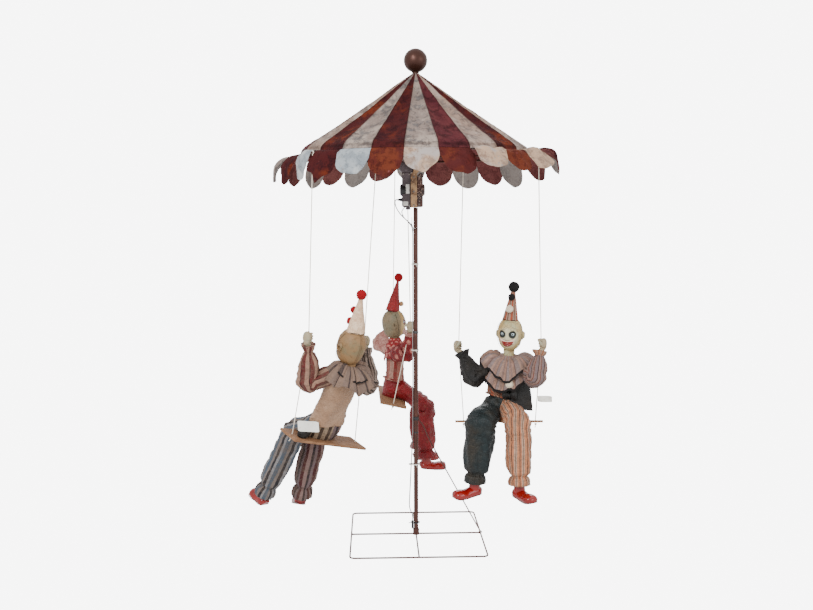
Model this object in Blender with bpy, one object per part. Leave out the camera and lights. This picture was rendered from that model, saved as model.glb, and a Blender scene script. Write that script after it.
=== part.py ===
"""Swing carousel display: a motor head on a tall thin pole turns a striped cloth canopy,
from which three stuffed clown dolls hang on rope swings.

Metres, +Z up. The origin is on the floor at the foot of the pole. The square base lies
along X and Y, and -Y is the front. Each swing has a frame of its own: out from the pole,
ahead of the doll, and height above the floor.
"""

import math
from dataclasses import dataclass

import bmesh
import bpy
from mathutils import Matrix, Vector

SHARP_DEGREES = 35.0
WELD_DISTANCE = 0.00002

# Driving dimensions of the stand
BASE_SIDE = 0.522
BASE_CORNER_RADIUS = 0.018
BASE_ROD_RADIUS = 0.00325
SOCKET_RADIUS = 0.0125
SOCKET_HEIGHT = 0.024
POLE_RADIUS = 0.0090
POLE_SECTIONS = {
    "pole_section_bottom": (0.0, 0.4158),
    "pole_section_lower": (0.4158, 0.8145),
    "pole_section_upper": (0.8145, 1.2200),
    "pole_section_top": (1.2200, 1.2990),
}
STAY_RADIUS = 0.0025
STAY_TOP_HEIGHT = 0.478
CASE_LEFT = -0.0525
MOTOR_TOP = 1.4720
SHAFT_RADIUS = 0.0085

# Clearances: between faces that lie on each other, and all round a piece that room is cut for
GAP = 0.0003
CUT_GAP = 0.0005

# Driving dimensions of the turning part
ARM_HEIGHT = 1.4900
ARM_RADIUS = 0.003
ARM_OVERHANG = 0.007
HUB_RADIUS = 0.030
HUB_BOTTOM = 1.4780
HUB_TOP = 1.5020
MAST_RADIUS = 0.006
APEX_HEIGHT = 1.8095
HOOP_RADIUS = 0.4355
HOOP_ROD_RADIUS = 0.003
HOOP_HEIGHT = ARM_HEIGHT + ARM_RADIUS + HOOP_ROD_RADIUS + GAP
RIM_RADIUS = 0.440
RIM_HEIGHT = HOOP_HEIGHT + 0.0035
CLOTH_THICKNESS = 0.0018
SHOULDER_RADIUS = 0.414
SHOULDER_HEIGHT = 1.5310
SEAM_GAP = 0.0006
PANELS = 24
COLUMNS = 4
TAB_LENGTH = 0.120
TAB_ROOT_SHARE = 0.42
TAB_LEVEL_RUN = 0.046
FINIAL_RADIUS = 0.045
FINIAL_HEIGHT = 1.855

# Driving dimensions of the swings
FIRST_SWING_ANGLE = -21.7
INNER_ROPE_OUT = 0.191
OUTER_ROPE_OUT = 0.477
SWING_OUT = (INNER_ROPE_OUT + OUTER_ROPE_OUT) / 2
ROPE_RADIUS = 0.0017
SEAT_LENGTH = 0.322
SEAT_WIDTH = 0.110
SEAT_THICKNESS = 0.009

# Lead: held along the pole, its route chosen by hand as (x, y, z)
LEAD_RADIUS = 0.0021
LEAD_ROUTE = (
    (-0.0700, -0.0060, 1.3290),
    (-0.0760, -0.0060, 1.3290),
    (-0.0800, -0.0090, 1.3200),
    (-0.0740, -0.0140, 1.2960),
    (-0.0560, -0.0130, 1.2700),
    (-0.0330, -0.0090, 1.2480),
    (-0.0150, -0.0040, 1.2240),
    (-0.0118, -0.0010, 1.1900),
    (-0.0118, 0.0000, 1.0800),
    (-0.0118, -0.0010, 0.9500),
    (-0.0118, 0.0010, 0.8300),
    (-0.0118, 0.0000, 0.6800),
    (-0.0118, -0.0010, 0.5200),
    (-0.0125, 0.0000, 0.4300),
    (-0.0155, -0.0010, 0.3600),
    (-0.0190, 0.0000, 0.2900),
    (-0.0225, 0.0010, 0.2100),
    (-0.0260, 0.0000, 0.1450),
    (-0.0262, 0.0000, 0.1150),
    (-0.0210, 0.0000, 0.0960),
    (-0.0158, 0.0000, 0.0850),
    (-0.0138, 0.0000, 0.0700),
    (-0.0138, 0.0000, 0.0560),
)


def clear_scene():
    """Starts from nothing."""
    for thing in list(bpy.data.objects):
        bpy.data.objects.remove(thing, do_unlink=True)


def finish_of(name, colour, roughness, metallic=0.0):
    """A material with one Principled BSDF."""
    material = bpy.data.materials.get(name) or bpy.data.materials.new(name)
    material.use_nodes = True
    shader = material.node_tree.nodes["Principled BSDF"]
    shader.inputs["Base Color"].default_value = (*colour, 1.0)
    shader.inputs["Roughness"].default_value = roughness
    shader.inputs["Metallic"].default_value = metallic
    return material


def steel_finish():
    return finish_of("brown_steel", (0.075, 0.030, 0.022), 0.40, 0.6)


def rope_finish():
    return finish_of("white_rope", (0.78, 0.76, 0.72), 0.85)


def wood_finish():
    return finish_of("pale_plywood", (0.52, 0.34, 0.20), 0.70)


def skin_finish():
    return finish_of("pale_plastic_skin", (0.52, 0.50, 0.38), 0.45)


def shoe_finish():
    return finish_of("red_plastic_shoe", (0.55, 0.03, 0.015), 0.25)


def empty(name, location, turn=0.0, parent=None):
    """A frame that its children move with, on the axis that they move about."""
    made = bpy.data.objects.new(name, None)
    bpy.context.scene.collection.objects.link(made)
    made.parent = parent
    made.location = location
    made.rotation_euler = (0.0, 0.0, turn)
    return made


def add_object(name, mesh, material, parent):
    made = bpy.data.objects.new(name, mesh)
    bpy.context.scene.collection.objects.link(made)
    made.parent = parent
    mesh.materials.clear()
    mesh.materials.append(material)
    return made


def shade(mesh):
    mesh.shade_smooth()
    mesh.set_sharp_from_angle(angle=math.radians(SHARP_DEGREES))


def from_points(name, points, faces, material, parent=None):
    """An object from points and faces, its normals turned outwards."""
    mesh = bpy.data.meshes.new(name)
    mesh.from_pydata([tuple(p) for p in points], [], faces)
    work = bmesh.new()
    work.from_mesh(mesh)
    bmesh.ops.triangulate(work, faces=work.faces, quad_method="FIXED")
    bmesh.ops.recalc_face_normals(work, faces=work.faces)
    work.to_mesh(mesh)
    work.free()
    shade(mesh)
    return add_object(name, mesh, material, parent)


def lofted(name, rings, material, parent=None):
    """A closed body through rings of equally many points, flat at both ends."""
    count = len(rings[0])
    points = [point for ring in rings for point in ring]
    faces = []
    for row in range(len(rings) - 1):
        near, far = row * count, (row + 1) * count
        for i in range(count):
            j = (i + 1) % count
            faces.append((near + i, near + j, far + j, far + i))
    faces.append(tuple(reversed(range(count))))
    faces.append(tuple(range((len(rings) - 1) * count, len(rings) * count)))
    return from_points(name, points, faces, material, parent)


def ringed(name, profiles, material, parent=None, two_layers=False):
    """A closed ring through profiles of equally many points, the last joined to the first.

    With two_layers, a profile goes out along one layer of cloth and back along the other, and
    both are split into triangles along the same diagonals, so that a twist can't cross them.
    """
    count = len(profiles[0])
    points = [point for profile in profiles for point in profile]
    faces = []
    for row in range(len(profiles)):
        near, far = row * count, (row + 1) % len(profiles) * count
        for i in range(count):
            j = (i + 1) % count
            if two_layers and i >= count // 2:
                faces.append((near + j, far + j, far + i, near + i))
            else:
                faces.append((near + i, near + j, far + j, far + i))
    return from_points(name, points, faces, material, parent)


def ring_at(centre, along, side, half_width, half_depth, count):
    """An oval of points round centre: half_width lies along side, half_depth across it."""
    along = along.normalized()
    across = (side - along * side.dot(along)).normalized()
    third = along.cross(across)
    turns = [2 * math.pi * i / count for i in range(count)]
    return [centre + across * half_width * math.cos(a) + third * half_depth * math.sin(a) for a in turns]


def limb(name, stations, side, count, material, parent=None, first=None, last=None, grow=0.0):
    """A body along a chain of (point, half width, half depth), with chosen end directions.

    It can be made larger all round by grow, to serve as a cutter that leaves room for it.
    """
    centres = [Vector(station[0]) for station in stations]
    ends = len(centres) - 1
    directions = [centres[min(i + 1, ends)] - centres[max(i - 1, 0)] for i in range(ends + 1)]
    if first is not None:
        directions[0] = first
    if last is not None:
        directions[ends] = last
    centres[0] = centres[0] - directions[0].normalized() * grow
    centres[ends] = centres[ends] + directions[ends].normalized() * grow
    rings = [
        ring_at(centre, along, side, half_width + grow, half_depth + grow, count)
        for centre, along, (_, half_width, half_depth) in zip(centres, directions, stations)
    ]
    return lofted(name, rings, material, parent)


def rod(name, start, end, radius, count, material, parent=None):
    """A straight round bar."""
    start, end = Vector(start), Vector(end)
    side = Vector((1.0, 0.0, 0.0)) if abs((end - start).normalized().x) < 0.9 else Vector((0.0, 1.0, 0.0))
    return limb(name, [(start, radius, radius), (end, radius, radius)], side, count, material, parent)


def bar_ring(path, radius, count):
    """Profiles of a round bar that follows a closed path lying flat, with a flat underside."""
    up = Vector((0.0, 0.0, 1.0))
    profiles = []
    for i, point in enumerate(path):
        along = path[(i + 1) % len(path)] - path[i - 1]
        across = along.normalized().cross(up)
        turns = [2 * math.pi * (k + 0.5) / count for k in range(count)]
        apothem = radius / math.cos(math.pi / count)
        profiles.append([point + across * apothem * math.cos(a) + up * apothem * math.sin(a) for a in turns])
    return profiles


def evaluated_mesh(thing):
    """The thing's shape with its modifiers carried out."""
    bpy.context.view_layer.update()
    graph = bpy.context.evaluated_depsgraph_get()
    return bpy.data.meshes.new_from_object(thing.evaluated_get(graph), depsgraph=graph)


def boolean(thing, other, operation):
    """Joins or cuts one body with another, which is used up."""
    change = thing.modifiers.new(operation.lower(), "BOOLEAN")
    change.operation = operation
    change.solver = "EXACT"
    change.use_self = operation == "UNION"
    change.object = other
    mesh = evaluated_mesh(thing)
    if not mesh.polygons:
        change.use_self = True
        mesh = evaluated_mesh(thing)
    thing.modifiers.clear()
    old = thing.data
    thing.data = mesh
    mesh.name = thing.name
    bpy.data.meshes.remove(old)
    bpy.data.objects.remove(other, do_unlink=True)
    keep_largest(thing)


def keep_largest(thing):
    """Removes the crumbs that a cut leaves, and welds points that nearly meet."""
    work = bmesh.new()
    work.from_mesh(thing.data)
    bmesh.ops.remove_doubles(work, verts=work.verts, dist=WELD_DISTANCE)
    islands = []
    unseen = set(work.verts)
    while unseen:
        stack = [unseen.pop()]
        island = set(stack)
        while stack:
            for edge in stack.pop().link_edges:
                for vertex in edge.verts:
                    if vertex in unseen:
                        unseen.discard(vertex)
                        island.add(vertex)
                        stack.append(vertex)
        islands.append(island)
    islands.sort(key=len, reverse=True)
    for island in islands[1:]:
        bmesh.ops.delete(work, geom=list(island), context="VERTS")
    work.to_mesh(thing.data)
    work.free()
    shade(thing.data)


def fuse(thing, *others):
    """Joins the others to the thing, as one body."""
    for other in others:
        boolean(thing, other, "UNION")


def cut(thing, *cutters):
    """Takes each cutter out of the thing."""
    for cutter in cutters:
        boolean(thing, cutter, "DIFFERENCE")


def ball(name, centre, radius, material, parent, segments, rings):
    """A sphere."""
    work = bmesh.new()
    bmesh.ops.create_uvsphere(work, u_segments=segments, v_segments=rings, radius=radius)
    bmesh.ops.translate(work, vec=centre, verts=work.verts)
    mesh = bpy.data.meshes.new(name)
    work.to_mesh(mesh)
    work.free()
    shade(mesh)
    return add_object(name, mesh, material, parent)


def box(name, low, high, material, parent=None, bevel=0.0):
    """A block between two corners, with bevelled edges where wanted."""
    low, high = Vector(low), Vector(high)
    work = bmesh.new()
    bmesh.ops.create_cube(work, size=1.0)
    bmesh.ops.scale(work, vec=high - low, verts=work.verts)
    bmesh.ops.translate(work, vec=(low + high) / 2, verts=work.verts)
    if bevel:
        bmesh.ops.bevel(work, geom=work.edges, offset=bevel, segments=2, affect="EDGES", profile=0.5)
    mesh = bpy.data.meshes.new(name)
    work.to_mesh(mesh)
    work.free()
    shade(mesh)
    return add_object(name, mesh, material, parent)


def smooth_route(points, per_span):
    """Points on a Catmull-Rom curve through the route's own points."""
    points = [Vector(p) for p in points]
    padded = [2 * points[0] - points[1], *points, 2 * points[-1] - points[-2]]
    route = []
    for i in range(1, len(padded) - 2):
        a, b, c, d = padded[i - 1 : i + 3]
        for step in range(per_span):
            t = step / per_span
            bend = (2 * a - 5 * b + 4 * c - d) * t**2
            twist = (3 * b - a - 3 * c + d) * t**3
            route.append(0.5 * (2 * b + (c - a) * t + bend + twist))
    route.append(points[-1])
    return route


def cord_object(name, route, radius, material, parent=None):
    """A curve with a round section and filled caps."""
    curve = bpy.data.curves.new(name, "CURVE")
    curve.dimensions = "3D"
    curve.bevel_depth = radius
    curve.bevel_resolution = 2
    curve.use_fill_caps = True
    spline = curve.splines.new("POLY")
    spline.points.add(len(route) - 1)
    for spot, point in zip(spline.points, route):
        spot.co = (*point, 1.0)
    return add_object(name, curve, material, parent)


# The stand


def base_path(side, corner):
    """The rounded square that the base rod is bent to, in the floor plane."""
    half = side / 2 - BASE_ROD_RADIUS
    path = []
    for quarter in range(4):
        middle = Matrix.Rotation(quarter * math.pi / 2, 3, "Z") @ Vector((half - corner, half - corner, 0.0))
        for step in range(4):
            turn = quarter * math.pi / 2 + step * math.pi / 6
            offset = Vector((math.cos(turn), math.sin(turn), 0.0)) * corner
            path.append(middle + offset + Vector((0.0, 0.0, BASE_ROD_RADIUS)))
    return path


def flat_bar(name, start, end, radius, material, parent):
    """A round bar lying flat, with a flat facet underneath."""
    along = (end - start).normalized()
    up = Vector((0.0, 0.0, 1.0))
    across = along.cross(up)
    corner = radius / math.cos(math.pi / 8)
    turns = [2 * math.pi * (k + 0.5) / 8 for k in range(8)]
    section = [across * corner * math.cos(a) + up * corner * math.sin(a) for a in turns]
    rings = [[point + offset for offset in section] for point in (start, end)]
    return lofted(name, rings, material, parent)


def build_base(stand):
    steel = steel_finish()
    path = base_path(BASE_SIDE, BASE_CORNER_RADIUS)
    ringed("base_ring", bar_ring(path, BASE_ROD_RADIUS, 8), steel, stand)
    reach = BASE_SIDE / 2 - 2 * BASE_ROD_RADIUS - GAP
    middle = Vector((0.0, 0.0, BASE_ROD_RADIUS))
    right, back = Vector((reach, 0.0, 0.0)), Vector((0.0, reach, 0.0))
    cross = flat_bar("base_cross", middle - right, middle + right, BASE_ROD_RADIUS, steel, stand)
    second = flat_bar("second_bar", middle - back, middle + back, BASE_ROD_RADIUS, steel, stand)
    socket = rod("socket", (0, 0, 0), (0, 0, SOCKET_HEIGHT), SOCKET_RADIUS, 16, steel)
    fuse(cross, second, socket)
    cut(cross, rod("bore", (0, 0, 0.003), (0, 0, 0.1), POLE_RADIUS + GAP, 16, steel))


def side_of_base():
    """The two ends of a stretch of the base rod's right side."""
    along = Vector((BASE_SIDE / 2 - BASE_ROD_RADIUS, 0.1, BASE_ROD_RADIUS))
    return along, Vector((along.x, -along.y, along.z))


def build_pole(stand):
    steel = steel_finish()
    foot = 0.003 + GAP
    for name, (low, high) in POLE_SECTIONS.items():
        rod(name, (0, 0, max(low, foot) + GAP), (0, 0, high), POLE_RADIUS, 16, steel, stand)
    foot_out = BASE_SIDE / 2 - BASE_ROD_RADIUS
    route = (
        (foot_out, 0.0, 2 * BASE_ROD_RADIUS + STAY_RADIUS * 0.6),
        (0.060, 0.0, 0.372),
        (0.030, 0.0, 0.440),
        (POLE_RADIUS + STAY_RADIUS + GAP, 0.0, STAY_TOP_HEIGHT - 0.012),
        (POLE_RADIUS + STAY_RADIUS + GAP, 0.0, STAY_TOP_HEIGHT + 0.008),
    )
    stations = [(point, STAY_RADIUS, STAY_RADIUS) for point in route]
    stay = limb("stay_rod", stations, Vector((0, 1, 0)), 8, steel, stand)
    cut(stay, flat_bar("room", *side_of_base(), BASE_ROD_RADIUS + CUT_GAP, steel, stand))


def extruded(name, outline, front, back, material, parent, bevel=0.0):
    """An upright outline in X and Z, pushed out between two depths."""
    rings = [[Vector((x, depth, z)) for x, z in outline] for depth in (front, back)]
    made = lofted(name, rings, material, parent)
    if bevel:
        edge = made.modifiers.new("edge", "BEVEL")
        edge.width = bevel
        edge.segments = 2
        edge.limit_method = "ANGLE"
        made.data = evaluated_mesh(made)
        made.modifiers.clear()
    return made


def build_motor_head(stand):
    """Two case halves on a centre plate, with a drum and a top block under the hub."""
    grey = finish_of("grey_plastic", (0.12, 0.10, 0.11), 0.45)
    rusty = finish_of("speckled_brown", (0.13, 0.055, 0.04), 0.60, 0.3)
    tan = finish_of("tan_plate", (0.58, 0.36, 0.20), 0.55, 0.2)
    black = finish_of("black_plastic", (0.02, 0.02, 0.022), 0.40)
    across = Vector((0, 1, 0))
    drum = [
        ((-0.0610, -0.012, 1.366), 0.0150, 0.0150),
        ((-0.0590, -0.012, 1.366), 0.0200, 0.0200),
        ((-0.0540, -0.012, 1.366), 0.0228, 0.0228),
        ((-0.0440, -0.012, 1.366), 0.0228, 0.0228),
        ((-0.0385, -0.012, 1.366), 0.0205, 0.0205),
    ]
    limb("motor_drum", drum, across, 20, black, stand)
    left = extruded(
        "motor_case_left",
        [(CASE_LEFT, 1.306), (-0.0470, 1.3005), (-0.0205, 1.3005), (-0.0205, 1.4340), (CASE_LEFT, 1.4340)],
        -0.030,
        0.030,
        grey,
        stand,
        0.002,
    )
    cut(left, limb("room", drum, across, 20, black, stand, grow=CUT_GAP))
    plate = extruded(
        "motor_plate",
        [(-0.0200, 1.2995), (0.0035, 1.2995), (0.0035, 1.4270), (0.0100, 1.4345), (0.0100, MOTOR_TOP),
         (-0.0105, MOTOR_TOP), (-0.0105, 1.4345), (-0.0200, 1.4270)],
        -0.036,
        0.036,
        tan,
        stand,
        0.001,
    )
    fuse(plate, rod("shaft", (0, 0, MOTOR_TOP - 0.008), (0, 0, HUB_BOTTOM - GAP), SHAFT_RADIUS, 16, tan))
    right = extruded(
        "motor_case_right",
        [(0.0040, 1.3005), (0.0230, 1.3005), (0.0270, 1.3050), (0.0270, 1.4260),
         (0.0230, 1.4300), (0.0145, 1.4300), (0.0040, 1.4180)],
        -0.030,
        0.030,
        rusty,
        stand,
        0.002,
    )
    bulge = limb(
        "bulge",
        [((0.020, -0.012, 1.366), 0.0228, 0.0228), ((0.030, -0.012, 1.366), 0.0228, 0.0228),
         ((0.0345, -0.012, 1.366), 0.0180, 0.0180)],
        across,
        20,
        rusty,
    )
    fuse(right, bulge)
    extruded(
        "motor_block",
        [(-0.0560, 1.4345), (-0.0110, 1.4345), (-0.0110, MOTOR_TOP), (-0.0640, MOTOR_TOP), (-0.0640, 1.4430)],
        -0.032,
        0.028,
        grey,
        stand,
        0.003,
    )


def build_lead(stand):
    """The lead that is clipped down the pole, with its strain relief and its connector."""
    black = finish_of("black_plastic", (0.02, 0.02, 0.022), 0.40)
    start = Vector(LEAD_ROUTE[0])
    at_case = Vector((CASE_LEFT - GAP, start.y, start.z))
    limb(
        "lead_strain_relief",
        [(start + Vector((GAP, 0, 0)), 0.0034, 0.0034), (at_case, 0.0062, 0.0062)],
        Vector((0, 1, 0)),
        12,
        black,
        stand,
    )
    cord_object("lead", smooth_route(LEAD_ROUTE, 3), LEAD_RADIUS, black, stand)
    end = Vector(LEAD_ROUTE[-1])
    box(
        "lead_connector",
        (end.x - 0.0045, -0.0075, end.z - GAP - 0.0300),
        (end.x + 0.0040, 0.0075, end.z - GAP),
        black,
        stand,
        0.0012,
    )


# The turning part


def polar(angle, radius, height):
    """The point at an angle round the pole."""
    return Vector((radius * math.cos(angle), radius * math.sin(angle), height))


def canopy_profile():
    """Radius and height of the cloth: straight from the apex to a shoulder, then down to the hoop."""
    top_radius, top_height = MAST_RADIUS + 0.0022, APEX_HEIGHT - 0.001
    run, rise = SHOULDER_RADIUS - top_radius, SHOULDER_HEIGHT - top_height
    points = [(top_radius + run * share, top_height + rise * share) for share in (0.0, 0.25, 0.5, 0.75, 1.0)]
    return [*points, (RIM_RADIUS - 0.0085, RIM_HEIGHT + 0.0165), (RIM_RADIUS, RIM_HEIGHT)]


def tab_droops(angle):
    """How many radians below level a tab hangs near the hoop and at its end.

    It hangs steeply in front and behind, is lifted at the two sides, and lies level over
    the three arm tips that hold it up.
    """
    sides = abs(math.cos(angle)) ** 10
    over_arm = 0.0
    for index in range(3):
        arm = math.radians(FIRST_SWING_ANGLE + 120 * index)
        away = math.degrees(abs((angle - arm + math.pi) % (2 * math.pi) - math.pi))
        over_arm = max(over_arm, math.exp(-((away / 14.0) ** 2)))
    near = 48.0 - 49.0 * max(over_arm, 0.85 * sides)
    far = 68.0 - 28.0 * sides - 12.0 * over_arm
    return math.radians(near), math.radians(far)


def build_canopy(rotor):
    red = finish_of("maroon_cloth", (0.20, 0.035, 0.030), 0.80)
    profile = canopy_profile()
    slopes = [math.atan2(b[1] - a[1], b[0] - a[0]) for a, b in zip(profile, profile[1:])]
    turns = [slopes[0], *[(a + b) / 2 for a, b in zip(slopes, slopes[1:])], slopes[-1]]
    inner = [
        (radius + CLOTH_THICKNESS * math.sin(turn), height - CLOTH_THICKNESS * math.cos(turn))
        for (radius, height), turn in zip(profile, turns)
    ]
    profiles = []
    for step in range(COLUMNS * PANELS):
        angle = 2 * math.pi * step / (COLUMNS * PANELS)
        profiles.append([polar(angle, *point) for point in (*profile, *reversed(inner))])
    ringed("canopy_cloth", profiles, red, rotor)


def build_valance(rotor):
    """The scalloped edge: one tab to each panel, joined to its neighbours near the hoop."""
    cream = finish_of("cream_cloth", (0.55, 0.50, 0.45), 0.85)
    profiles = []
    for step in range(COLUMNS * PANELS):
        angle = 2 * math.pi * step / (COLUMNS * PANELS)
        across = 2 * ((step + COLUMNS // 2) % COLUMNS) / COLUMNS - 1
        lobe = math.sqrt(max(0.0, 1 - across**2))
        length = TAB_LENGTH * (TAB_ROOT_SHARE + (1 - TAB_ROOT_SHARE) * lobe)
        near, far = tab_droops(angle)
        middle = (near + far) / 2
        level = polar(angle, math.cos(near), -math.sin(near)) * TAB_LEVEL_RUN
        fall = polar(angle, math.cos(far), -math.sin(far)) * (length - TAB_LEVEL_RUN)
        root = polar(angle, RIM_RADIUS + SEAM_GAP, RIM_HEIGHT - SEAM_GAP)
        outer = [root, root + level, root + level + fall * 0.5, root + level + fall]
        slopes = (near, middle, far, far)
        inwards = [polar(angle, -math.sin(a), -math.cos(a)) * CLOTH_THICKNESS for a in slopes]
        inner = [point + inward for point, inward in zip(outer, inwards)]
        profiles.append(outer + inner[::-1])
    ringed("canopy_valance", profiles, cream, rotor, two_layers=True)


def build_rotor(rotor):
    """Hub with three arms, mast, hoop and finial, in the rotor's own frame."""
    steel = steel_finish()
    spider = rod("hub_and_arms", (0, 0, HUB_BOTTOM), (0, 0, HUB_TOP), HUB_RADIUS, 20, steel, rotor)
    for index in range(3):
        angle = math.radians(FIRST_SWING_ANGLE + 120 * index)
        arm = rod(
            "arm",
            polar(angle, 0.01, ARM_HEIGHT),
            polar(angle, OUTER_ROPE_OUT + ARM_OVERHANG, ARM_HEIGHT),
            ARM_RADIUS,
            10,
            steel,
        )
        fuse(spider, arm)
    rod("mast", (0, 0, HUB_TOP + GAP), (0, 0, APEX_HEIGHT), MAST_RADIUS, 12, steel, rotor)
    path = [polar(2 * math.pi * i / 48, HOOP_RADIUS, HOOP_HEIGHT) for i in range(48)]
    ringed("canopy_hoop", bar_ring(path, HOOP_ROD_RADIUS, 6), steel, rotor)
    finial = ball("finial_ball", (0, 0, FINIAL_HEIGHT), FINIAL_RADIUS, steel, rotor, segments=24, rings=14)
    seat = rod("seat", (0, 0, APEX_HEIGHT - 0.05), (0, 0, APEX_HEIGHT + GAP), 0.02, 16, steel)
    cut(finial, seat)


# The swings and their dolls


@dataclass(frozen=True)
class Doll:
    """Where a doll's points are: out from the pole, ahead of the doll, height above the floor."""

    name: str
    seat: tuple
    seat_yaw: float
    seat_roll: float
    seat_pitch: float
    shift: tuple
    pelvis: tuple
    waist: tuple
    chest: tuple
    neck: tuple
    head: tuple
    hat_base: tuple
    hat_tip: tuple
    hands: tuple
    elbows: tuple
    shoulders: tuple
    hips: tuple
    knees: tuple
    ankles: tuple
    toes: tuple
    ruff_reach: float
    leg_fullness: tuple
    waist_width: float
    head_size: float
    hat_radius: float
    pompon_radius: float
    jacket: tuple
    trousers: tuple
    hat: tuple
    ruff: tuple


ORANGE_CLOWN = Doll(
    name="orange_clown",
    seat=(0.336, 0.000, 0.483),
    seat_yaw=0.0,
    seat_roll=4.3,
    seat_pitch=12.0,
    shift=(-0.010, -0.042, -0.008),
    pelvis=(0.342, 0.000, 0.520),
    waist=(0.355, -0.012, 0.580),
    chest=(0.366, -0.018, 0.655),
    neck=(0.369, -0.010, 0.728),
    head=(0.378, 0.006, 0.8300),
    hat_base=(0.380, 0.012, 0.8890),
    hat_tip=(0.388, 0.000, 0.9890),
    hands=((0.1760, 0.012, 0.7720), (0.4990, 0.012, 0.7960)),
    elbows=((0.2420, 0.030, 0.6560), (0.4860, 0.046, 0.6700)),
    shoulders=((0.3080, -0.014, 0.6860), (0.4270, -0.014, 0.6960)),
    hips=((0.3100, 0.020, 0.5320), (0.3820, 0.020, 0.5380)),
    knees=((0.2960, 0.108, 0.5100), (0.4360, 0.108, 0.5180)),
    ankles=((0.2740, 0.112, 0.2880), (0.4430, 0.112, 0.2960)),
    toes=((0.2120, 0.176, 0.2240), (0.5060, 0.168, 0.2340)),
    ruff_reach=0.104,
    leg_fullness=(1.40, 1.15),
    waist_width=0.056,
    head_size=1.03,
    hat_radius=0.0290,
    pompon_radius=0.0215,
    jacket=(0.45, 0.13, 0.05),
    trousers=(0.45, 0.30, 0.22),
    hat=(0.60, 0.16, 0.08),
    ruff=(0.42, 0.34, 0.34),
)

RED_CLOWN = Doll(
    name="red_clown",
    seat=(0.334, -0.042, 0.4940),
    seat_yaw=-6.9,
    seat_roll=1.7,
    seat_pitch=-13.0,
    shift=(0.0, 0.0, 0.0),
    pelvis=(0.330, -0.040, 0.5300),
    waist=(0.330, -0.030, 0.5750),
    chest=(0.330, -0.026, 0.6500),
    neck=(0.330, -0.026, 0.7200),
    head=(0.330, -0.033, 0.8120),
    hat_base=(0.330, -0.036, 0.8740),
    hat_tip=(0.330, -0.014, 0.9920),
    hands=((0.1900, 0.014, 0.8160), (0.4770, -0.012, 0.7960)),
    elbows=((0.2180, 0.010, 0.7040), (0.4560, -0.080, 0.7080)),
    shoulders=((0.2720, -0.030, 0.6900), (0.3900, -0.036, 0.6900)),
    hips=((0.2960, 0.000, 0.5260), (0.3660, 0.000, 0.5260)),
    knees=((0.2720, 0.088, 0.4640), (0.3920, 0.082, 0.4580)),
    ankles=((0.2700, 0.094, 0.2600), (0.3980, 0.090, 0.2660)),
    toes=((0.2700, 0.176, 0.1960), (0.4020, 0.172, 0.2040)),
    ruff_reach=0.078,
    leg_fullness=(1.05, 1.05),
    waist_width=0.052,
    head_size=1.00,
    hat_radius=0.0290,
    pompon_radius=0.0190,
    jacket=(0.62, 0.05, 0.06),
    trousers=(0.42, 0.02, 0.03),
    hat=(0.50, 0.02, 0.03),
    ruff=(0.60, 0.08, 0.09),
)

CREAM_CLOWN = Doll(
    name="cream_clown",
    seat=(0.334, 0.155, 0.4250),
    seat_yaw=0.0,
    seat_roll=15.0,
    seat_pitch=12.5,
    shift=(0.107, -0.152, 0.034),
    pelvis=(0.336, 0.150, 0.4700),
    waist=(0.335, 0.112, 0.5350),
    chest=(0.330, 0.046, 0.6400),
    neck=(0.321, 0.012, 0.7060),
    head=(0.320, 0.003, 0.7830),
    hat_base=(0.313, -0.017, 0.8430),
    hat_tip=(0.306, -0.036, 0.9490),
    hands=((0.2160, 0.064, 0.7840), (0.4770, 0.033, 0.8240)),
    elbows=((0.2060, 0.050, 0.6260), (0.4500, 0.078, 0.6620)),
    shoulders=((0.2680, 0.040, 0.6640), (0.3900, 0.034, 0.6820)),
    hips=((0.3000, 0.175, 0.4640), (0.3720, 0.175, 0.4820)),
    knees=((0.2860, 0.262, 0.4420), (0.3860, 0.256, 0.4560)),
    ankles=((0.2820, 0.376, 0.1780), (0.4220, 0.408, 0.2000)),
    toes=((0.2560, 0.448, 0.1060), (0.4320, 0.490, 0.1700)),
    ruff_reach=0.092,
    leg_fullness=(1.05, 1.18),
    waist_width=0.064,
    head_size=1.07,
    hat_radius=0.0330,
    pompon_radius=0.0190,
    jacket=(0.58, 0.48, 0.38),
    trousers=(0.24, 0.26, 0.32),
    hat=(0.66, 0.56, 0.44),
    ruff=(0.40, 0.32, 0.34),
)


@dataclass(frozen=True)
class Shape:
    """A tapered body: (point, half width, half depth) stations, with chosen end directions."""

    stations: list
    count: int
    material: object
    side: tuple = (1.0, 0.0, 0.0)
    first: Vector = None
    last: Vector = None


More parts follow.
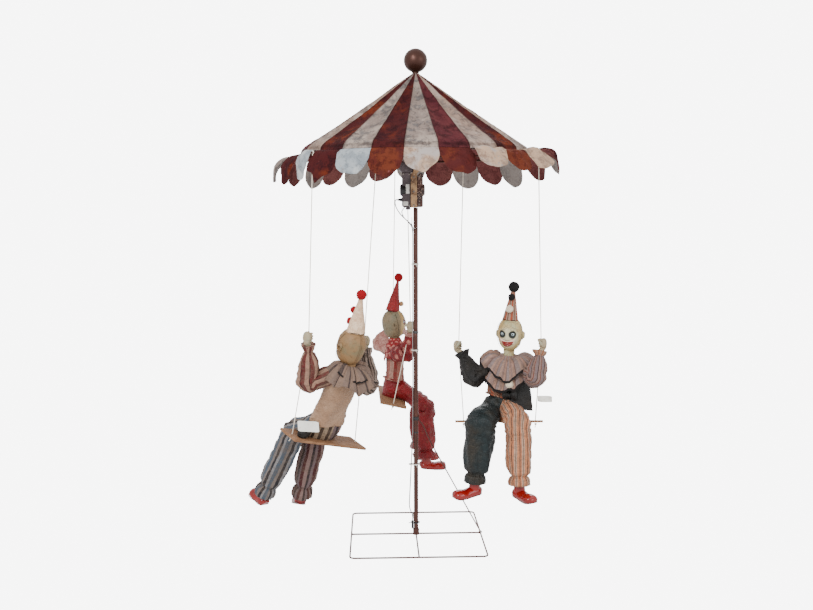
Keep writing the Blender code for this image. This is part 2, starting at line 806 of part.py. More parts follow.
class Swing:
    """One rope swing with its doll, built in the swing's frame on the axis of its rope tops."""

    def __init__(self, doll, rotor, index):
        self.doll = doll
        angle = math.radians(FIRST_SWING_ANGLE + 120 * index)
        self.frame = empty(
            doll.name + "_swing", polar(angle, SWING_OUT, ARM_HEIGHT), angle + math.pi, rotor
        )
        bpy.context.view_layer.update()

    def place(self, point):
        """A point given as out from the pole, ahead and height, in the swing's own frame."""
        out, ahead, height = Vector(point) + Vector(self.doll.shift)
        return Vector((SWING_OUT - out, ahead, height - ARM_HEIGHT))

    def named(self, part):
        return f"{self.doll.name}_{part}"

    def seat_frame(self):
        turn = Matrix.Rotation(math.radians(self.doll.seat_yaw), 4, "Z")
        turn = turn @ Matrix.Rotation(math.radians(self.doll.seat_roll), 4, "Y")
        tip = Matrix.Rotation(math.radians(self.doll.seat_pitch), 4, "X")
        return Matrix.Translation(self.place(self.doll.seat)) @ turn @ tip

    def board(self, name, grow=0.0):
        """The seat's plywood board, or a larger one to cut room for it."""
        half = Vector((SEAT_LENGTH / 2, SEAT_WIDTH / 2, SEAT_THICKNESS / 2)) + Vector((grow, grow, grow))
        made = box(name, -half, half, wood_finish(), self.frame, 0.0 if grow else 0.0012)
        made.data.transform(self.seat_frame())
        return made

    def rope_path(self, inner):
        """From under the arm, through the doll's hand, to a knot under the seat."""
        along = SWING_OUT - (INNER_ROPE_OUT if inner else OUTER_ROPE_OUT)
        board = self.seat_frame()
        reach = SEAT_THICKNESS / 2
        above = board @ Vector((along, 0.0, reach + 0.004))
        below = board @ Vector((along, 0.0, -reach - 0.001))
        top = Vector((along, 0.0, -ARM_RADIUS - 0.0018))
        return top, self.place(self.doll.hands[0 if inner else 1]), above, below

    def rope_body(self, name, inner, grow=0.0):
        top, hand, above, below = self.rope_path(inner)
        before = hand + (top - hand).normalized() * 0.022
        after = hand + (above - hand).normalized() * 0.022
        stations = [(p, ROPE_RADIUS, ROPE_RADIUS) for p in (top, before, after, above, below)]
        return limb(name, stations, Vector((1.0, 0.1, 0.0)), 6, rope_finish(), self.frame, grow=grow)

    def rope_rooms(self):
        return self.rope_body("room", True, CUT_GAP), self.rope_body("room", False, CUT_GAP)

    def build_rope(self, inner):
        """A rope with its loop round the arm and its knot under the seat."""
        rope = self.rope_body(self.named("rope_inner" if inner else "rope_outer"), inner)
        top = self.rope_path(inner)[0]
        sideways = Vector((1.0, 0.0, 0.0))
        loop = []
        for step in range(12):
            turn = 2 * math.pi * step / 12
            spoke = Vector((0.0, math.cos(turn), math.sin(turn)))
            middle = Vector((top.x, 0.0, 0.0)) + spoke * (ARM_RADIUS + GAP + ROPE_RADIUS)
            section = []
            for corner in range(5):
                a = 2 * math.pi * corner / 5
                section.append(middle + (spoke * math.cos(a) + sideways * math.sin(a)) * ROPE_RADIUS)
            loop.append(section)
        eye = ringed("eye", loop, rope_finish(), self.frame)
        knot_centre = self.seat_frame() @ Vector((top.x, 0.0, -SEAT_THICKNESS / 2 - 0.0052))
        knot = ball("knot", knot_centre, 0.0046, rope_finish(), self.frame, segments=8, rings=6)
        fuse(rope, eye, knot)

    def shape(self, spec, grow=0.0, name="room"):
        """A body from a shape's stations, or a larger one to cut room for it."""
        placed = [(self.place(point), width, depth) for point, width, depth in spec.stations]
        side = Vector(spec.side)
        return limb(name, placed, side, spec.count, spec.material, self.frame, spec.first, spec.last, grow)

    def made_of(self, part, specs):
        """One named body fused from several shapes."""
        body = self.shape(specs[0], name=self.named(part))
        fuse(body, *[self.shape(spec) for spec in specs[1:]])
        return body

    def room(self, specs):
        """One slightly larger body fused from several shapes, to cut room for them."""
        body = self.shape(specs[0], CUT_GAP)
        fuse(body, *[self.shape(spec, CUT_GAP) for spec in specs[1:]])
        return body

    def trouser_shapes(self):
        doll = self.doll
        cloth = finish_of(self.named("trouser_cloth"), doll.trousers, 0.85)
        pelvis, waist = Vector(doll.pelvis), Vector(doll.waist)
        down = (pelvis - waist).normalized()
        hips = Shape(
            [(pelvis + down * 0.034, 0.052, 0.036), (pelvis, 0.058, 0.040), (waist, 0.046, 0.036)],
            12,
            cloth,
            first=self.torso_axis,
            last=self.torso_axis,
        )
        shapes = [hips]
        for hip, knee, ankle, fullness in zip(doll.hips, doll.knees, doll.ankles, doll.leg_fullness):
            hip, knee, ankle = Vector(hip), Vector(knee), Vector(ankle)
            loose = fullness - 1.0
            shapes.append(
                Shape(
                    [
                        (hip - (knee - hip) * 0.15, 0.026, 0.026),
                        (hip, 0.034 * (1 + 0.75 * loose), 0.034),
                        (hip + (knee - hip) * 0.6, 0.038 * (1 + 0.93 * loose), 0.034),
                        (knee + Vector((0, 0.010, -0.012)), 0.040 * (1 + loose), 0.036),
                        (knee.lerp(ankle, 0.30), 0.041 * (1 + 0.85 * loose), 0.036),
                        (knee.lerp(ankle, 0.66), 0.042 * (1 + 0.42 * loose), 0.038),
                        (knee.lerp(ankle, 0.90), 0.030, 0.030),
                        (knee.lerp(ankle, 1.10), 0.043, 0.040),
                    ],
                    12,
                    cloth,
                )
            )
        return shapes

    def jacket_shapes(self):
        doll = self.doll
        cloth = finish_of(self.named("jacket_cloth"), doll.jacket, 0.80)
        chest, neck, waist = Vector(doll.chest), Vector(doll.neck), Vector(doll.waist)
        up = (self.place(neck) - self.place(chest)).normalized()
        torso = Shape(
            [
                (waist + (waist - Vector(doll.pelvis)).normalized() * GAP, doll.waist_width, 0.044),
                (waist.lerp(chest, 0.35), doll.waist_width, 0.043),
                (chest, 0.062, 0.045),
                (chest.lerp(neck, 0.60), 0.056, 0.040),
                (neck, 0.026, 0.026),
            ],
            12,
            cloth,
            first=self.torso_axis,
            last=up,
        )
        shapes = [torso]
        for shoulder, elbow, hand in zip(doll.shoulders, doll.elbows, doll.hands):
            shoulder, elbow, hand = Vector(shoulder), Vector(elbow), Vector(hand)
            wrist = hand - (hand - elbow).normalized() * 0.030
            shapes.append(
                Shape(
                    [
                        (shoulder.lerp(chest, 0.4), 0.024, 0.024),
                        (shoulder, 0.030, 0.030),
                        (elbow.lerp(shoulder, 0.35), 0.031, 0.031),
                        (elbow, 0.031, 0.031),
                        (elbow.lerp(wrist, 0.45), 0.029, 0.029),
                        (elbow.lerp(wrist, 0.82), 0.019, 0.019),
                        (wrist, 0.026, 0.026),
                    ],
                    10,
                    cloth,
                    side=(0.0, 1.0, 0.0),
                )
            )
        return shapes

    def head_shapes(self):
        """A rounded skull over a narrower jaw, on a neck."""
        doll = self.doll
        skin = skin_finish()
        head, neck = Vector(doll.head), Vector(doll.neck)
        up = (Vector(doll.hat_base) - head).normalized()
        outline = (
            (-0.060, 0.022, 0.024),
            (-0.052, 0.033, 0.036),
            (-0.032, 0.041, 0.045),
            (-0.004, 0.0455, 0.050),
            (0.022, 0.0445, 0.048),
            (0.044, 0.034, 0.037),
            (0.0565, 0.018, 0.020),
            (0.0600, 0.006, 0.006),
        )
        size = doll.head_size
        stations = [(head + up * rise * size, width * size, depth * size) for rise, width, depth in outline]
        skull = Shape(stations, 14, skin)
        stem = Shape([(neck, 0.021, 0.021), (neck.lerp(head, 0.55), 0.021, 0.021)], 12, skin)
        return [skull, stem]

    def hat_shapes(self):
        doll = self.doll
        cloth = finish_of(self.named("hat_cloth"), doll.hat, 0.70)
        base, tip = Vector(doll.hat_base), Vector(doll.hat_tip)
        up = (tip - base).normalized()
        stations = [
            (base - up * 0.010, doll.hat_radius, doll.hat_radius),
            (base.lerp(tip, 0.5), 0.0155, 0.0155),
            (tip, 0.0035, 0.0035),
        ]
        return [Shape(stations, 12, cloth)]

    def build_hat(self):
        hat = self.made_of("hat", self.hat_shapes())
        tip = self.place(self.doll.hat_tip)
        up = (tip - self.place(self.doll.hat_base)).normalized()
        cloth = hat.data.materials[0]
        radius = self.doll.pompon_radius
        fuse(hat, ball("pompon", tip + up * radius * 0.8, radius, cloth, self.frame, segments=10, rings=7))
        cut(hat, self.room(self.head_shapes()[:1]))

    def build_ruff(self):
        """A gathered collar that lies over the shoulders, low in front and behind."""
        doll = self.doll
        cloth = finish_of(self.named("ruff_cloth"), doll.ruff, 0.85)
        neck = self.place(doll.neck)
        up = (self.place(doll.head) - self.place(doll.chest)).normalized()
        side = (Vector((1, 0, 0)) - up * up.x).normalized()
        ahead = up.cross(side)
        reach = doll.ruff_reach
        profiles = []
        for step in range(20):
            turn = 2 * math.pi * step / 20
            spoke = side * math.cos(turn) + ahead * math.sin(turn)
            fall = 0.026 + 0.050 * math.sin(turn) ** 2
            edge = reach * (0.80 + 0.20 * math.cos(turn) ** 2)
            profiles.append(
                [
                    neck + spoke * 0.023 + up * 0.026,
                    neck + spoke * reach * 0.62 + up * (0.020 - fall * 0.25),
                    neck + spoke * edge + up * (0.004 - fall),
                    neck + spoke * (edge - 0.012) + up * (-0.010 - fall),
                    neck + spoke * 0.023 + up * 0.002,
                ]
            )
        ruff = ringed(self.named("ruff"), profiles, cloth, self.frame)
        cut(ruff, self.room(self.jacket_shapes()), self.room(self.head_shapes()))

    def build_hand(self, inner):
        doll = self.doll
        side = 0 if inner else 1
        hand, elbow = Vector(doll.hands[side]), Vector(doll.elbows[side])
        along = (hand - elbow).normalized()
        outline = (
            (-0.036, 0.011, 0.011),
            (-0.018, 0.013, 0.015),
            (-0.006, 0.017, 0.020),
            (0.010, 0.018, 0.021),
            (0.022, 0.012, 0.014),
        )
        fist = Shape([(hand + along * rise, width, depth) for rise, width, depth in outline], 10, skin_finish())
        made = self.made_of("hand_right" if inner else "hand_left", [fist])
        sleeve = self.jacket_shapes()[1 + side]
        cut(made, self.rope_body("room", inner, CUT_GAP), self.shape(sleeve, CUT_GAP))

    def shoe_shapes(self, side):
        doll = self.doll
        ankle, toe, knee = Vector(doll.ankles[side]), Vector(doll.toes[side]), Vector(doll.knees[side])
        down = (ankle - knee).normalized()
        heel = ankle + down * 0.062
        run = toe - heel
        shoe = Shape(
            [
                (heel - run.normalized() * 0.026 - down * 0.004, 0.017, 0.014),
                (heel - run.normalized() * 0.010 - down * 0.006, 0.024, 0.022),
                (heel + run * 0.45, 0.026, 0.020),
                (heel + run * 0.80, 0.027, 0.018),
                (toe, 0.017, 0.012),
            ],
            12,
            shoe_finish(),
        )
        return [shoe, Shape([(ankle + down * 0.016, 0.020, 0.020), (heel, 0.022, 0.022)], 10, shoe_finish())]

    def build(self):
        self.torso_axis = (self.place(self.doll.waist) - self.place(self.doll.pelvis)).normalized()
        seat = self.board(self.named("seat"))
        cut(seat, *self.rope_rooms())
        for inner in (True, False):
            self.build_rope(inner)
        trousers = self.made_of("trousers", self.trouser_shapes())
        cut(trousers, self.board("room", CUT_GAP))
        jacket = self.made_of("jacket", self.jacket_shapes())
        cut(jacket, self.room(self.trouser_shapes()), *self.rope_rooms(), self.room(self.head_shapes()))
        self.made_of("head", self.head_shapes())
        self.build_hat()
        self.build_ruff()
        for side, name in enumerate(("shoe_right", "shoe_left")):
            self.build_hand(side == 0)
            shoe = self.made_of(name, self.shoe_shapes(side))
            cut(shoe, self.shape(self.trouser_shapes()[1 + side], CUT_GAP))


def main():
    clear_scene()
    stand = empty("stand", (0.0, 0.0, 0.0))
    build_base(stand)
    build_pole(stand)
    build_motor_head(stand)
    build_lead(stand)
    rotor = empty("rotor", (0.0, 0.0, 0.0))
    build_rotor(rotor)
    build_canopy(rotor)
    build_valance(rotor)
    for index, doll in enumerate((ORANGE_CLOWN, RED_CLOWN, CREAM_CLOWN)):
        Swing(doll, rotor, index).build()


main()
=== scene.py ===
"""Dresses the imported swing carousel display: canopy, motor head, stand, and three clown dolls.

Metres, +Z up, in the frame of the CAD. The origin is on the floor at the foot of the pole,
and -Y is the front. Each doll's points are given as (out from the pole, ahead of the doll,
height above the floor), as in the part's own source.
"""

import logging
import math
from dataclasses import dataclass, field
from enum import Enum
from functools import partial
from typing import Callable, Sequence

import bmesh
import bpy
from mathutils import Matrix, Vector, noise


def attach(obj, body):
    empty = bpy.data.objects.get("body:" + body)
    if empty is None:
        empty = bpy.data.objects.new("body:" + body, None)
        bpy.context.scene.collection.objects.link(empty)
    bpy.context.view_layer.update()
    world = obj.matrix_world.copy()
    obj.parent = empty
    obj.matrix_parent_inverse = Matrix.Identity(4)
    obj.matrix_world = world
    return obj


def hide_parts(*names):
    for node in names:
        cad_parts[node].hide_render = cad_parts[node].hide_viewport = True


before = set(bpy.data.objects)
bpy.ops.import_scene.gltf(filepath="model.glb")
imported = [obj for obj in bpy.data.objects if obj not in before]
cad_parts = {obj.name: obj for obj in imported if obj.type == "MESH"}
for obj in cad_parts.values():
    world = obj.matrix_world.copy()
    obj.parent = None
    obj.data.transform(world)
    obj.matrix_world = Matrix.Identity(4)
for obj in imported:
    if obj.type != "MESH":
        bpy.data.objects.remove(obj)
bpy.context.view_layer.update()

log = logging.getLogger("carousel")

Tint = tuple[float, float, float]
Place = tuple[float, float]
Placer = Callable[[int, int], Place]
Picker = Callable[[int, int], int]
Fold = Callable[[float, float, Vector], float]
Rows = Sequence[Sequence[Vector]]

CLOTH_MAP = "cloth"
SMOOTH_ANGLE = 50.0
RIGHTWARDS = Vector((1.0, 0.0, 0.0))
BACKWARDS = Vector((0.0, 1.0, 0.0))
UP = Vector((0.0, 0.0, 1.0))

# The camera that took the photograph
IMAGE_WIDTH = 813
FOCAL_PIXELS = 917.0
SENSOR_WIDTH = 36.0
CAMERA_PLACE = Vector((-0.158, -3.556, 1.276))
CAMERA_YAW = math.radians(1.96)
CAMERA_PITCH = math.radians(5.69)
CAMERA_ROLL = math.radians(-0.13)

# Sizes that the CAD part gives
BASE_SIDE = 0.522
BASE_CORNER = 0.018
BASE_ROD = 0.00325
POLE_RADIUS = 0.0090
ARM_HEIGHT = 1.4900
ARM_RADIUS = 0.003
DRUM_MIDDLE = Vector((0.0, -0.012, 1.366))
APEX_HEIGHT = 1.8095
HOOP_RADIUS = 0.4355
HOOP_HEIGHT = 1.4963
HOOP_ROD = 0.003
RIM_RADIUS = 0.440
RIM_HEIGHT = 1.4998
SHOULDER = (0.414, 1.5310)
PANELS = 24
TAB_LENGTH = 0.120
TAB_ROOT_SHARE = 0.42
TAB_LEVEL_RUN = 0.046
FINIAL_RADIUS = 0.045
FINIAL_HEIGHT = 1.855
FIRST_SWING_ANGLE = -21.7
SWING_STEP = 120.0
INNER_ROPE_OUT = 0.191
OUTER_ROPE_OUT = 0.477
SEAT_THICKNESS = 0.009
ROPE_RADIUS = 0.0017
ROPE_LAY = 0.0105
CLOTH = 0.0014

# A head's skin is laid out in metres: across from its middle line, so many for each radian,
# and up from its centre
HEAD_ROUND = 0.0455
BACK_SEAM = 0.1400
EYE_ACROSS = 0.0200
EYE_RISE = 0.0050
MOUTH_RISE = -0.0290


class Body(Enum):
    """The CAD bodies that pieces ride on."""

    STAND = "stand"
    ROTOR = "rotor"
    ORANGE = "orange_clown_swing"
    RED = "red_clown_swing"
    CREAM = "cream_clown_swing"


class Side(Enum):
    """The doll's own right and left, which hold the inner and the outer rope."""

    RIGHT = 0
    LEFT = 1


# Materials


@dataclass(frozen=True)
class Socket:
    """One output in a material's nodes. Python's operators add Math nodes to it."""

    recipe: "Recipe"
    port: bpy.types.NodeSocket

    def _math(self, operation: str, first: "Value", second: "Value" = 0.0) -> "Socket":
        """A Math node on one or two values."""
        return self.recipe.node("ShaderNodeMath", {"operation": operation}, {0: first, 1: second})

    def __add__(self, other: "Value") -> "Socket":
        """The sum."""
        return self._math("ADD", self, other)

    def __radd__(self, other: "Value") -> "Socket":
        """The sum, from the right."""
        return self._math("ADD", other, self)

    def __sub__(self, other: "Value") -> "Socket":
        """The difference."""
        return self._math("SUBTRACT", self, other)

    def __rsub__(self, other: "Value") -> "Socket":
        """The difference, from the right."""
        return self._math("SUBTRACT", other, self)

    def __mul__(self, other: "Value") -> "Socket":
        """The product."""
        return self._math("MULTIPLY", self, other)

    def __rmul__(self, other: "Value") -> "Socket":
        """The product, from the right."""
        return self._math("MULTIPLY", other, self)

    def __truediv__(self, other: "Value") -> "Socket":
        """The quotient."""
        return self._math("DIVIDE", self, other)

    def __pow__(self, other: "Value") -> "Socket":
        """The power."""
        return self._math("POWER", self, other)

    def __abs__(self) -> "Socket":
        """The size without its sign."""
        return self._math("ABSOLUTE", self)

    def __lt__(self, other: "Value") -> "Socket":
        """1 where it is less, 0 elsewhere."""
        return self._math("LESS_THAN", self, other)

    def __gt__(self, other: "Value") -> "Socket":
        """1 where it is more, 0 elsewhere."""
        return self._math("GREATER_THAN", self, other)

    def fraction(self) -> "Socket":
        """What follows the whole number."""
        return self._math("FRACT", self)

    def sine(self) -> "Socket":
        """The sine."""
        return self._math("SINE", self)

    def step(self, low: float, high: float) -> "Socket":
        """0 up to low, 1 from high, and a smooth rise between them, or a fall if high is less.

        Args:
            low: the value that gives 0.
            high: the value that gives 1.

        Returns:
            The share from 0 to 1.
        """
        settings = {"interpolation_type": "SMOOTHSTEP"}
        turned = low > high
        span = (high, low) if turned else (low, high)
        ends = (1.0, 0.0) if turned else (0.0, 1.0)
        sockets = {0: self, 1: span[0], 2: span[1], 3: ends[0], 4: ends[1]}
        return self.recipe.node("ShaderNodeMapRange", settings, sockets)


Value = Socket | float
Colour = Socket | Tint


class Recipe:
    """The nodes of one material, written as Python expressions."""

    def __init__(self, name: str, fixed: dict[str, object]) -> None:
        """Starts a material.

        Args:
            name: the material's name.
            fixed: uniform values, set on the shader's own sockets.
        """
        self.material = bpy.data.materials.new(name)
        self.material.use_nodes = True
        self.tree = self.material.node_tree
        self.shader = self.tree.nodes["Principled BSDF"]
        for socket, value in fixed.items():
            self.shader.inputs[socket].default_value = value

    def node(
        self,
        kind: str,
        settings: dict[str, object] | None = None,
        sockets: dict[int | str, object] | None = None,
        output: int = 0,
    ) -> Socket:
        """Adds a node.

        Args:
            kind: the node's type.
            settings: its own settings, set first; stops gives a ramp's positions and colours.
            sockets: a value or a link for each input.
            output: which output is wanted.

        Returns:
            That output.
        """
        made = self.tree.nodes.new(kind)
        for name, value in (settings or {}).items():
            if name == "stops":
                self._ramp_stops(made.color_ramp, value)
            elif name == "interpolation":
                made.color_ramp.interpolation = value
            else:
                setattr(made, name, value)
        for key, value in (sockets or {}).items():
            port = made.inputs[key]
            if isinstance(value, Socket):
                self.tree.links.new(value.port, port)
            elif isinstance(value, tuple) and port.type == "RGBA":
                port.default_value = (*value[:3], 1.0)
            else:
                port.default_value = value
        return Socket(self, made.outputs[output])

    @staticmethod
    def _ramp_stops(ramp: bpy.types.ColorRamp, stops: Sequence[tuple[float, Tint]]) -> None:
        """Gives a ramp its stops."""
        while len(ramp.elements) < len(stops):
            ramp.elements.new(1.0)
        for element, (position, tint) in zip(ramp.elements, stops):
            element.position = position
            element.color = (*tint, 1.0)

    def place(self) -> Socket:
        """Where a point is at rest, in metres."""
        return self.node("ShaderNodeTexCoord", output=3)

    def cloth_place(self) -> tuple[Socket, Socket]:
        """Where a point is on the cloth it was cut from: across and along."""
        place = self.node("ShaderNodeUVMap", {"uv_map": CLOTH_MAP})
        return (
            self.node("ShaderNodeSeparateXYZ", sockets={0: place}, output=0),
            self.node("ShaderNodeSeparateXYZ", sockets={0: place}, output=1),
        )

    def noise(self, place: Socket, scale: float, detail: float = 2.0, rough: float = 0.5) -> Socket:
        """Soft noise from 0 to 1."""
        sockets = {"Vector": place, "Scale": scale, "Detail": detail, "Roughness": rough}
        return self.node("ShaderNodeTexNoise", sockets=sockets)

    def stretched(self, place: Socket, size: Tint) -> Socket:
        """A place scaled along each axis."""
        return self.node("ShaderNodeVectorMath", {"operation": "MULTIPLY"}, {0: place, 1: size})

    def cracks(self, place: Socket, scale: float) -> Socket:
        """How far a point is from the nearest edge of irregular cells."""
        settings = {"feature": "DISTANCE_TO_EDGE"}
        return self.node("ShaderNodeTexVoronoi", settings, {"Vector": place, "Scale": scale})

    def mix(self, first: Colour, second: Colour, share: Value, blend: str = "MIX") -> Socket:
        """Two colours mixed.

        Args:
            first: the colour at share 0.
            second: the colour at share 1.
            share: how much of the second.
            blend: how they are blended.

        Returns:
            The colour.
        """
        settings = {"data_type": "RGBA", "blend_type": blend, "clamp_factor": True}
        return self.node("ShaderNodeMix", settings, {0: share, 6: first, 7: second}, output=2)

    def ramp(
        self, value: Socket, stops: Sequence[tuple[float, Tint]], stepped: bool = False
    ) -> Socket:
        """The colour that a ramp gives a value."""
        settings = {"interpolation": "CONSTANT" if stepped else "LINEAR", "stops": stops}
        return self.node("ShaderNodeValToRGB", settings, {0: value})

    def ridges(self, place: Socket, scale: float, detail: float = 4.0, rough: float = 0.6) -> Socket:
        """0 along thin winding lines, up to 1 between them."""
        return abs(self.noise(place, scale, detail, rough) * 2.0 - 1.0)

    def bump(self, height: Socket, depth: float, strength: float) -> Socket:
        """A normal that stands for a height of up to depth metres."""
        sockets = {"Height": height, "Distance": depth, "Strength": strength}
        return self.node("ShaderNodeBump", sockets=sockets)

    def crumpled(self, place: Socket, small: Socket, ridge: Socket) -> Socket:
        """The normal of woven cloth with creases along its ridges."""
        weave = self.noise(place, 1700.0, 1.0)
        return self.bump(weave * 0.12 + small + ridge.step(0.34, 0.0) * -1.0, 0.0026, 0.8)

    def feed(self, **links: Socket) -> bpy.types.Material:
        """Links what varies to the shader.

        Args:
            links: a socket for each input, its spaces written as underscores.

        Returns:
            The material.
        """
        for name, socket in links.items():
            self.tree.links.new(socket.port, self.shader.inputs[name.replace("_", " ")])
        return self.material


@dataclass(frozen=True)
class Finish:
    """What a surface is made of and how it has worn."""

    name: str

    def material(self) -> bpy.types.Material:
        """The finish's material, made once."""
        return bpy.data.materials.get(self.name) or self.draw()

    def draw(self) -> bpy.types.Material:
        """Makes the material; each kind of finish has its own."""
        raise NotImplementedError


@dataclass(frozen=True)
class RodPaint(Finish):
    """Red-brown satin paint on steel rod, rubbed paler in places and dusty in others."""

    base: Tint = (0.058, 0.017, 0.011)
    rubbed: Tint = (0.130, 0.050, 0.032)
    dust: Tint = (0.16, 0.10, 0.07)
    metallic: float = 0.45
    roughness: tuple[float, float] = (0.30, 0.52)

    def draw(self) -> bpy.types.Material:
        """Broad tone, small rubs, dust specks, and a slightly orange-peeled skin."""
        r = Recipe(self.name, {"Metallic": self.metallic, "Specular IOR Level": 0.5})
        place = r.place()
        broad = r.noise(place, 7.0, 4.0, 0.6)
        small = r.noise(place, 60.0, 3.0, 0.65)
        grain = r.noise(place, 900.0, 2.0)
        colour = r.mix(self.base, self.rubbed, broad.step(0.45, 0.75) * 0.55)
        colour = r.mix(colour, self.rubbed, small.step(0.60, 0.72) * 0.60)
        colour = r.mix(colour, self.dust, (small * grain).step(0.36, 0.46) * 0.5)
        smooth, dull = self.roughness
        rough = smooth + (dull - smooth) * broad
        normal = r.bump(grain * 0.4 + small, 0.0003, 0.5)
        return r.feed(Base_Color=colour, Roughness=rough + grain * 0.08, Normal=normal)


@dataclass(frozen=True)
class MouldedShell(Finish):
    """Moulded plastic or painted casing, with speckles, scuffs and dust."""

    base: Tint = (0.10, 0.09, 0.10)
    patch: Tint = (0.20, 0.17, 0.18)
    speck: Tint = (0.30, 0.16, 0.08)
    specks: float = 0.3
    roughness: float = 0.42
    metallic: float = 0.0
    scale: float = 1.0

    def draw(self) -> bpy.types.Material:
        """Patches of tone, fine moulded grain, and specks of rust or wear."""
        r = Recipe(self.name, {"Metallic": self.metallic})
        place = r.place()
        broad = r.noise(place, 22.0 * self.scale, 4.0, 0.6)
        dots = r.noise(place, 170.0 * self.scale, 3.0, 0.7)
        grain = r.noise(place, 1500.0, 1.0)
        colour = r.mix(self.base, self.patch, broad.step(0.40, 0.68))
        colour = r.mix(colour, self.speck, dots.step(0.56, 0.64) * self.specks)
        rough = self.roughness + (broad - 0.5) * 0.25 + dots * 0.12
        return r.feed(Base_Color=colour, Roughness=rough, Normal=r.bump(grain + dots, 0.0002, 0.4))


@dataclass(frozen=True)
class PaintedCloth(Finish):
    """Heavy canopy cloth, painted, cracked along its creases and stained."""

    base: Tint = (0.20, 0.035, 0.030)
    patch: Tint = (0.33, 0.080, 0.035)
    stain: Tint = (0.10, 0.020, 0.022)
    crease: Tint = (0.05, 0.012, 0.012)
    patches: tuple[float, float] = (0.46, 0.64)
    creases: float = 0.55
    seams: float = 0.6

    def draw(self) -> bpy.types.Material:
        """Broad patches, blots, streaks down the slope, fine veins, painted shade where the roof bends over
        the hoop, weave and stitched seams.
        """
        r = Recipe(self.name, {"Specular IOR Level": 0.05})
        place = r.place()
        across, along = r.cloth_place()
        broad = r.noise(place, 8.0, 4.0, 0.60)
        blots = r.noise(place, 23.0, 6.0, 0.70)
        ridge = r.ridges(place, 31.0, 5.0, 0.64)
        slope = r.node("ShaderNodeCombineXYZ", sockets={0: across * 7.0, 1: along * 9.0})
        streaks = r.noise(slope, 1.0, 4.0, 0.6)
        grain = r.noise(place, 210.0, 3.0, 0.7)
        edge = abs(across.fraction() - 0.5)
        colour = r.mix(self.base, self.patch, broad.step(*self.patches))
        colour = r.mix(colour, self.stain, blots.step(0.47, 0.60) * 0.80)
        colour = r.mix(colour, self.crease, streaks.step(0.54, 0.74) * self.creases * 0.55)
        veins = ridge.step(0.085, 0.0) * blots.step(0.38, 0.56)
        colour = r.mix(colour, self.crease, veins * self.creases)
        colour = r.mix(colour, self.patch, grain.step(0.56, 0.70) * 0.35)
        colour = r.mix(colour, self.crease, edge.step(0.440, 0.490) * self.seams)
        # painted shade: a darker band where the roof bends down over the hoop
        bend = along.step(0.470, 0.480) * along.step(0.494, 0.484)
        colour = r.mix(colour, self.crease, bend * blots.step(0.35, 0.5) * 0.5)
        threads = (across * 480.0).sine() * 0.5 + (along * 4200.0).sine() * 0.5
        stitches = edge.step(0.470, 0.474) * edge.step(0.482, 0.478) * (along * 1500.0).sine()
        height = threads * 0.08 + blots * 0.9 + ridge.step(0.30, 0.0) * 0.6
        normal = r.bump(height + grain * 0.25 + stitches * 0.4, 0.0014, 0.7)
        return r.feed(Base_Color=colour, Roughness=0.72 + blots * 0.2, Normal=normal)


@dataclass(frozen=True)
class StripedCloth(Finish):
    """Costume cloth with stripes that run along or round it, creased and yellowed, with painted shade along
    its creases.
    """

    stripes: tuple[tuple[float, Tint], ...] = ()
    repeats: float = 12.0
    slant: float = 0.0
    wobble: float = 0.10
    grime_and_fold_shade: Tint = (0.10, 0.07, 0.05)
    grime_and_shade_amount: float = 0.35
    roughness: float = 0.72
    sheen: float = 0.03

    def draw(self) -> bpy.types.Material:
        """Stripes from the place on the cloth, then dirt in patches, painted shade along the crease lines,
        and the weave.
        """
        fixed = {"Specular IOR Level": 0.14, "Sheen Weight": self.sheen, "Sheen Roughness": 0.5}
        r = Recipe(self.name, fixed)
        place = r.place()
        across, along = r.cloth_place()
        drift = r.noise(place, 24.0, 2.0) - 0.5
        phase = across * self.repeats + along * self.slant + drift * self.wobble
        colour = r.ramp(phase.fraction(), self.stripes, stepped=True)
        broad = r.noise(place, 15.0, 4.0, 0.6)
        small = r.noise(place, 90.0, 3.0, 0.6)
        ridge = r.ridges(place, 38.0)
        colour = r.mix(colour, self.grime_and_fold_shade, broad.step(0.42, 0.70) * self.grime_and_shade_amount)
        colour = r.mix(colour, self.grime_and_fold_shade, small.step(0.54, 0.70) * self.grime_and_shade_amount * 0.7)
        # painted shade: darker along the crease lines that the bump dents in
        colour = r.mix(colour, self.grime_and_fold_shade, ridge.step(0.10, 0.0) * self.grime_and_shade_amount * 1.3)
        rough = self.roughness + (broad - 0.5) * 0.2
        return r.feed(Base_Color=colour, Roughness=rough, Normal=r.crumpled(place, small, ridge))


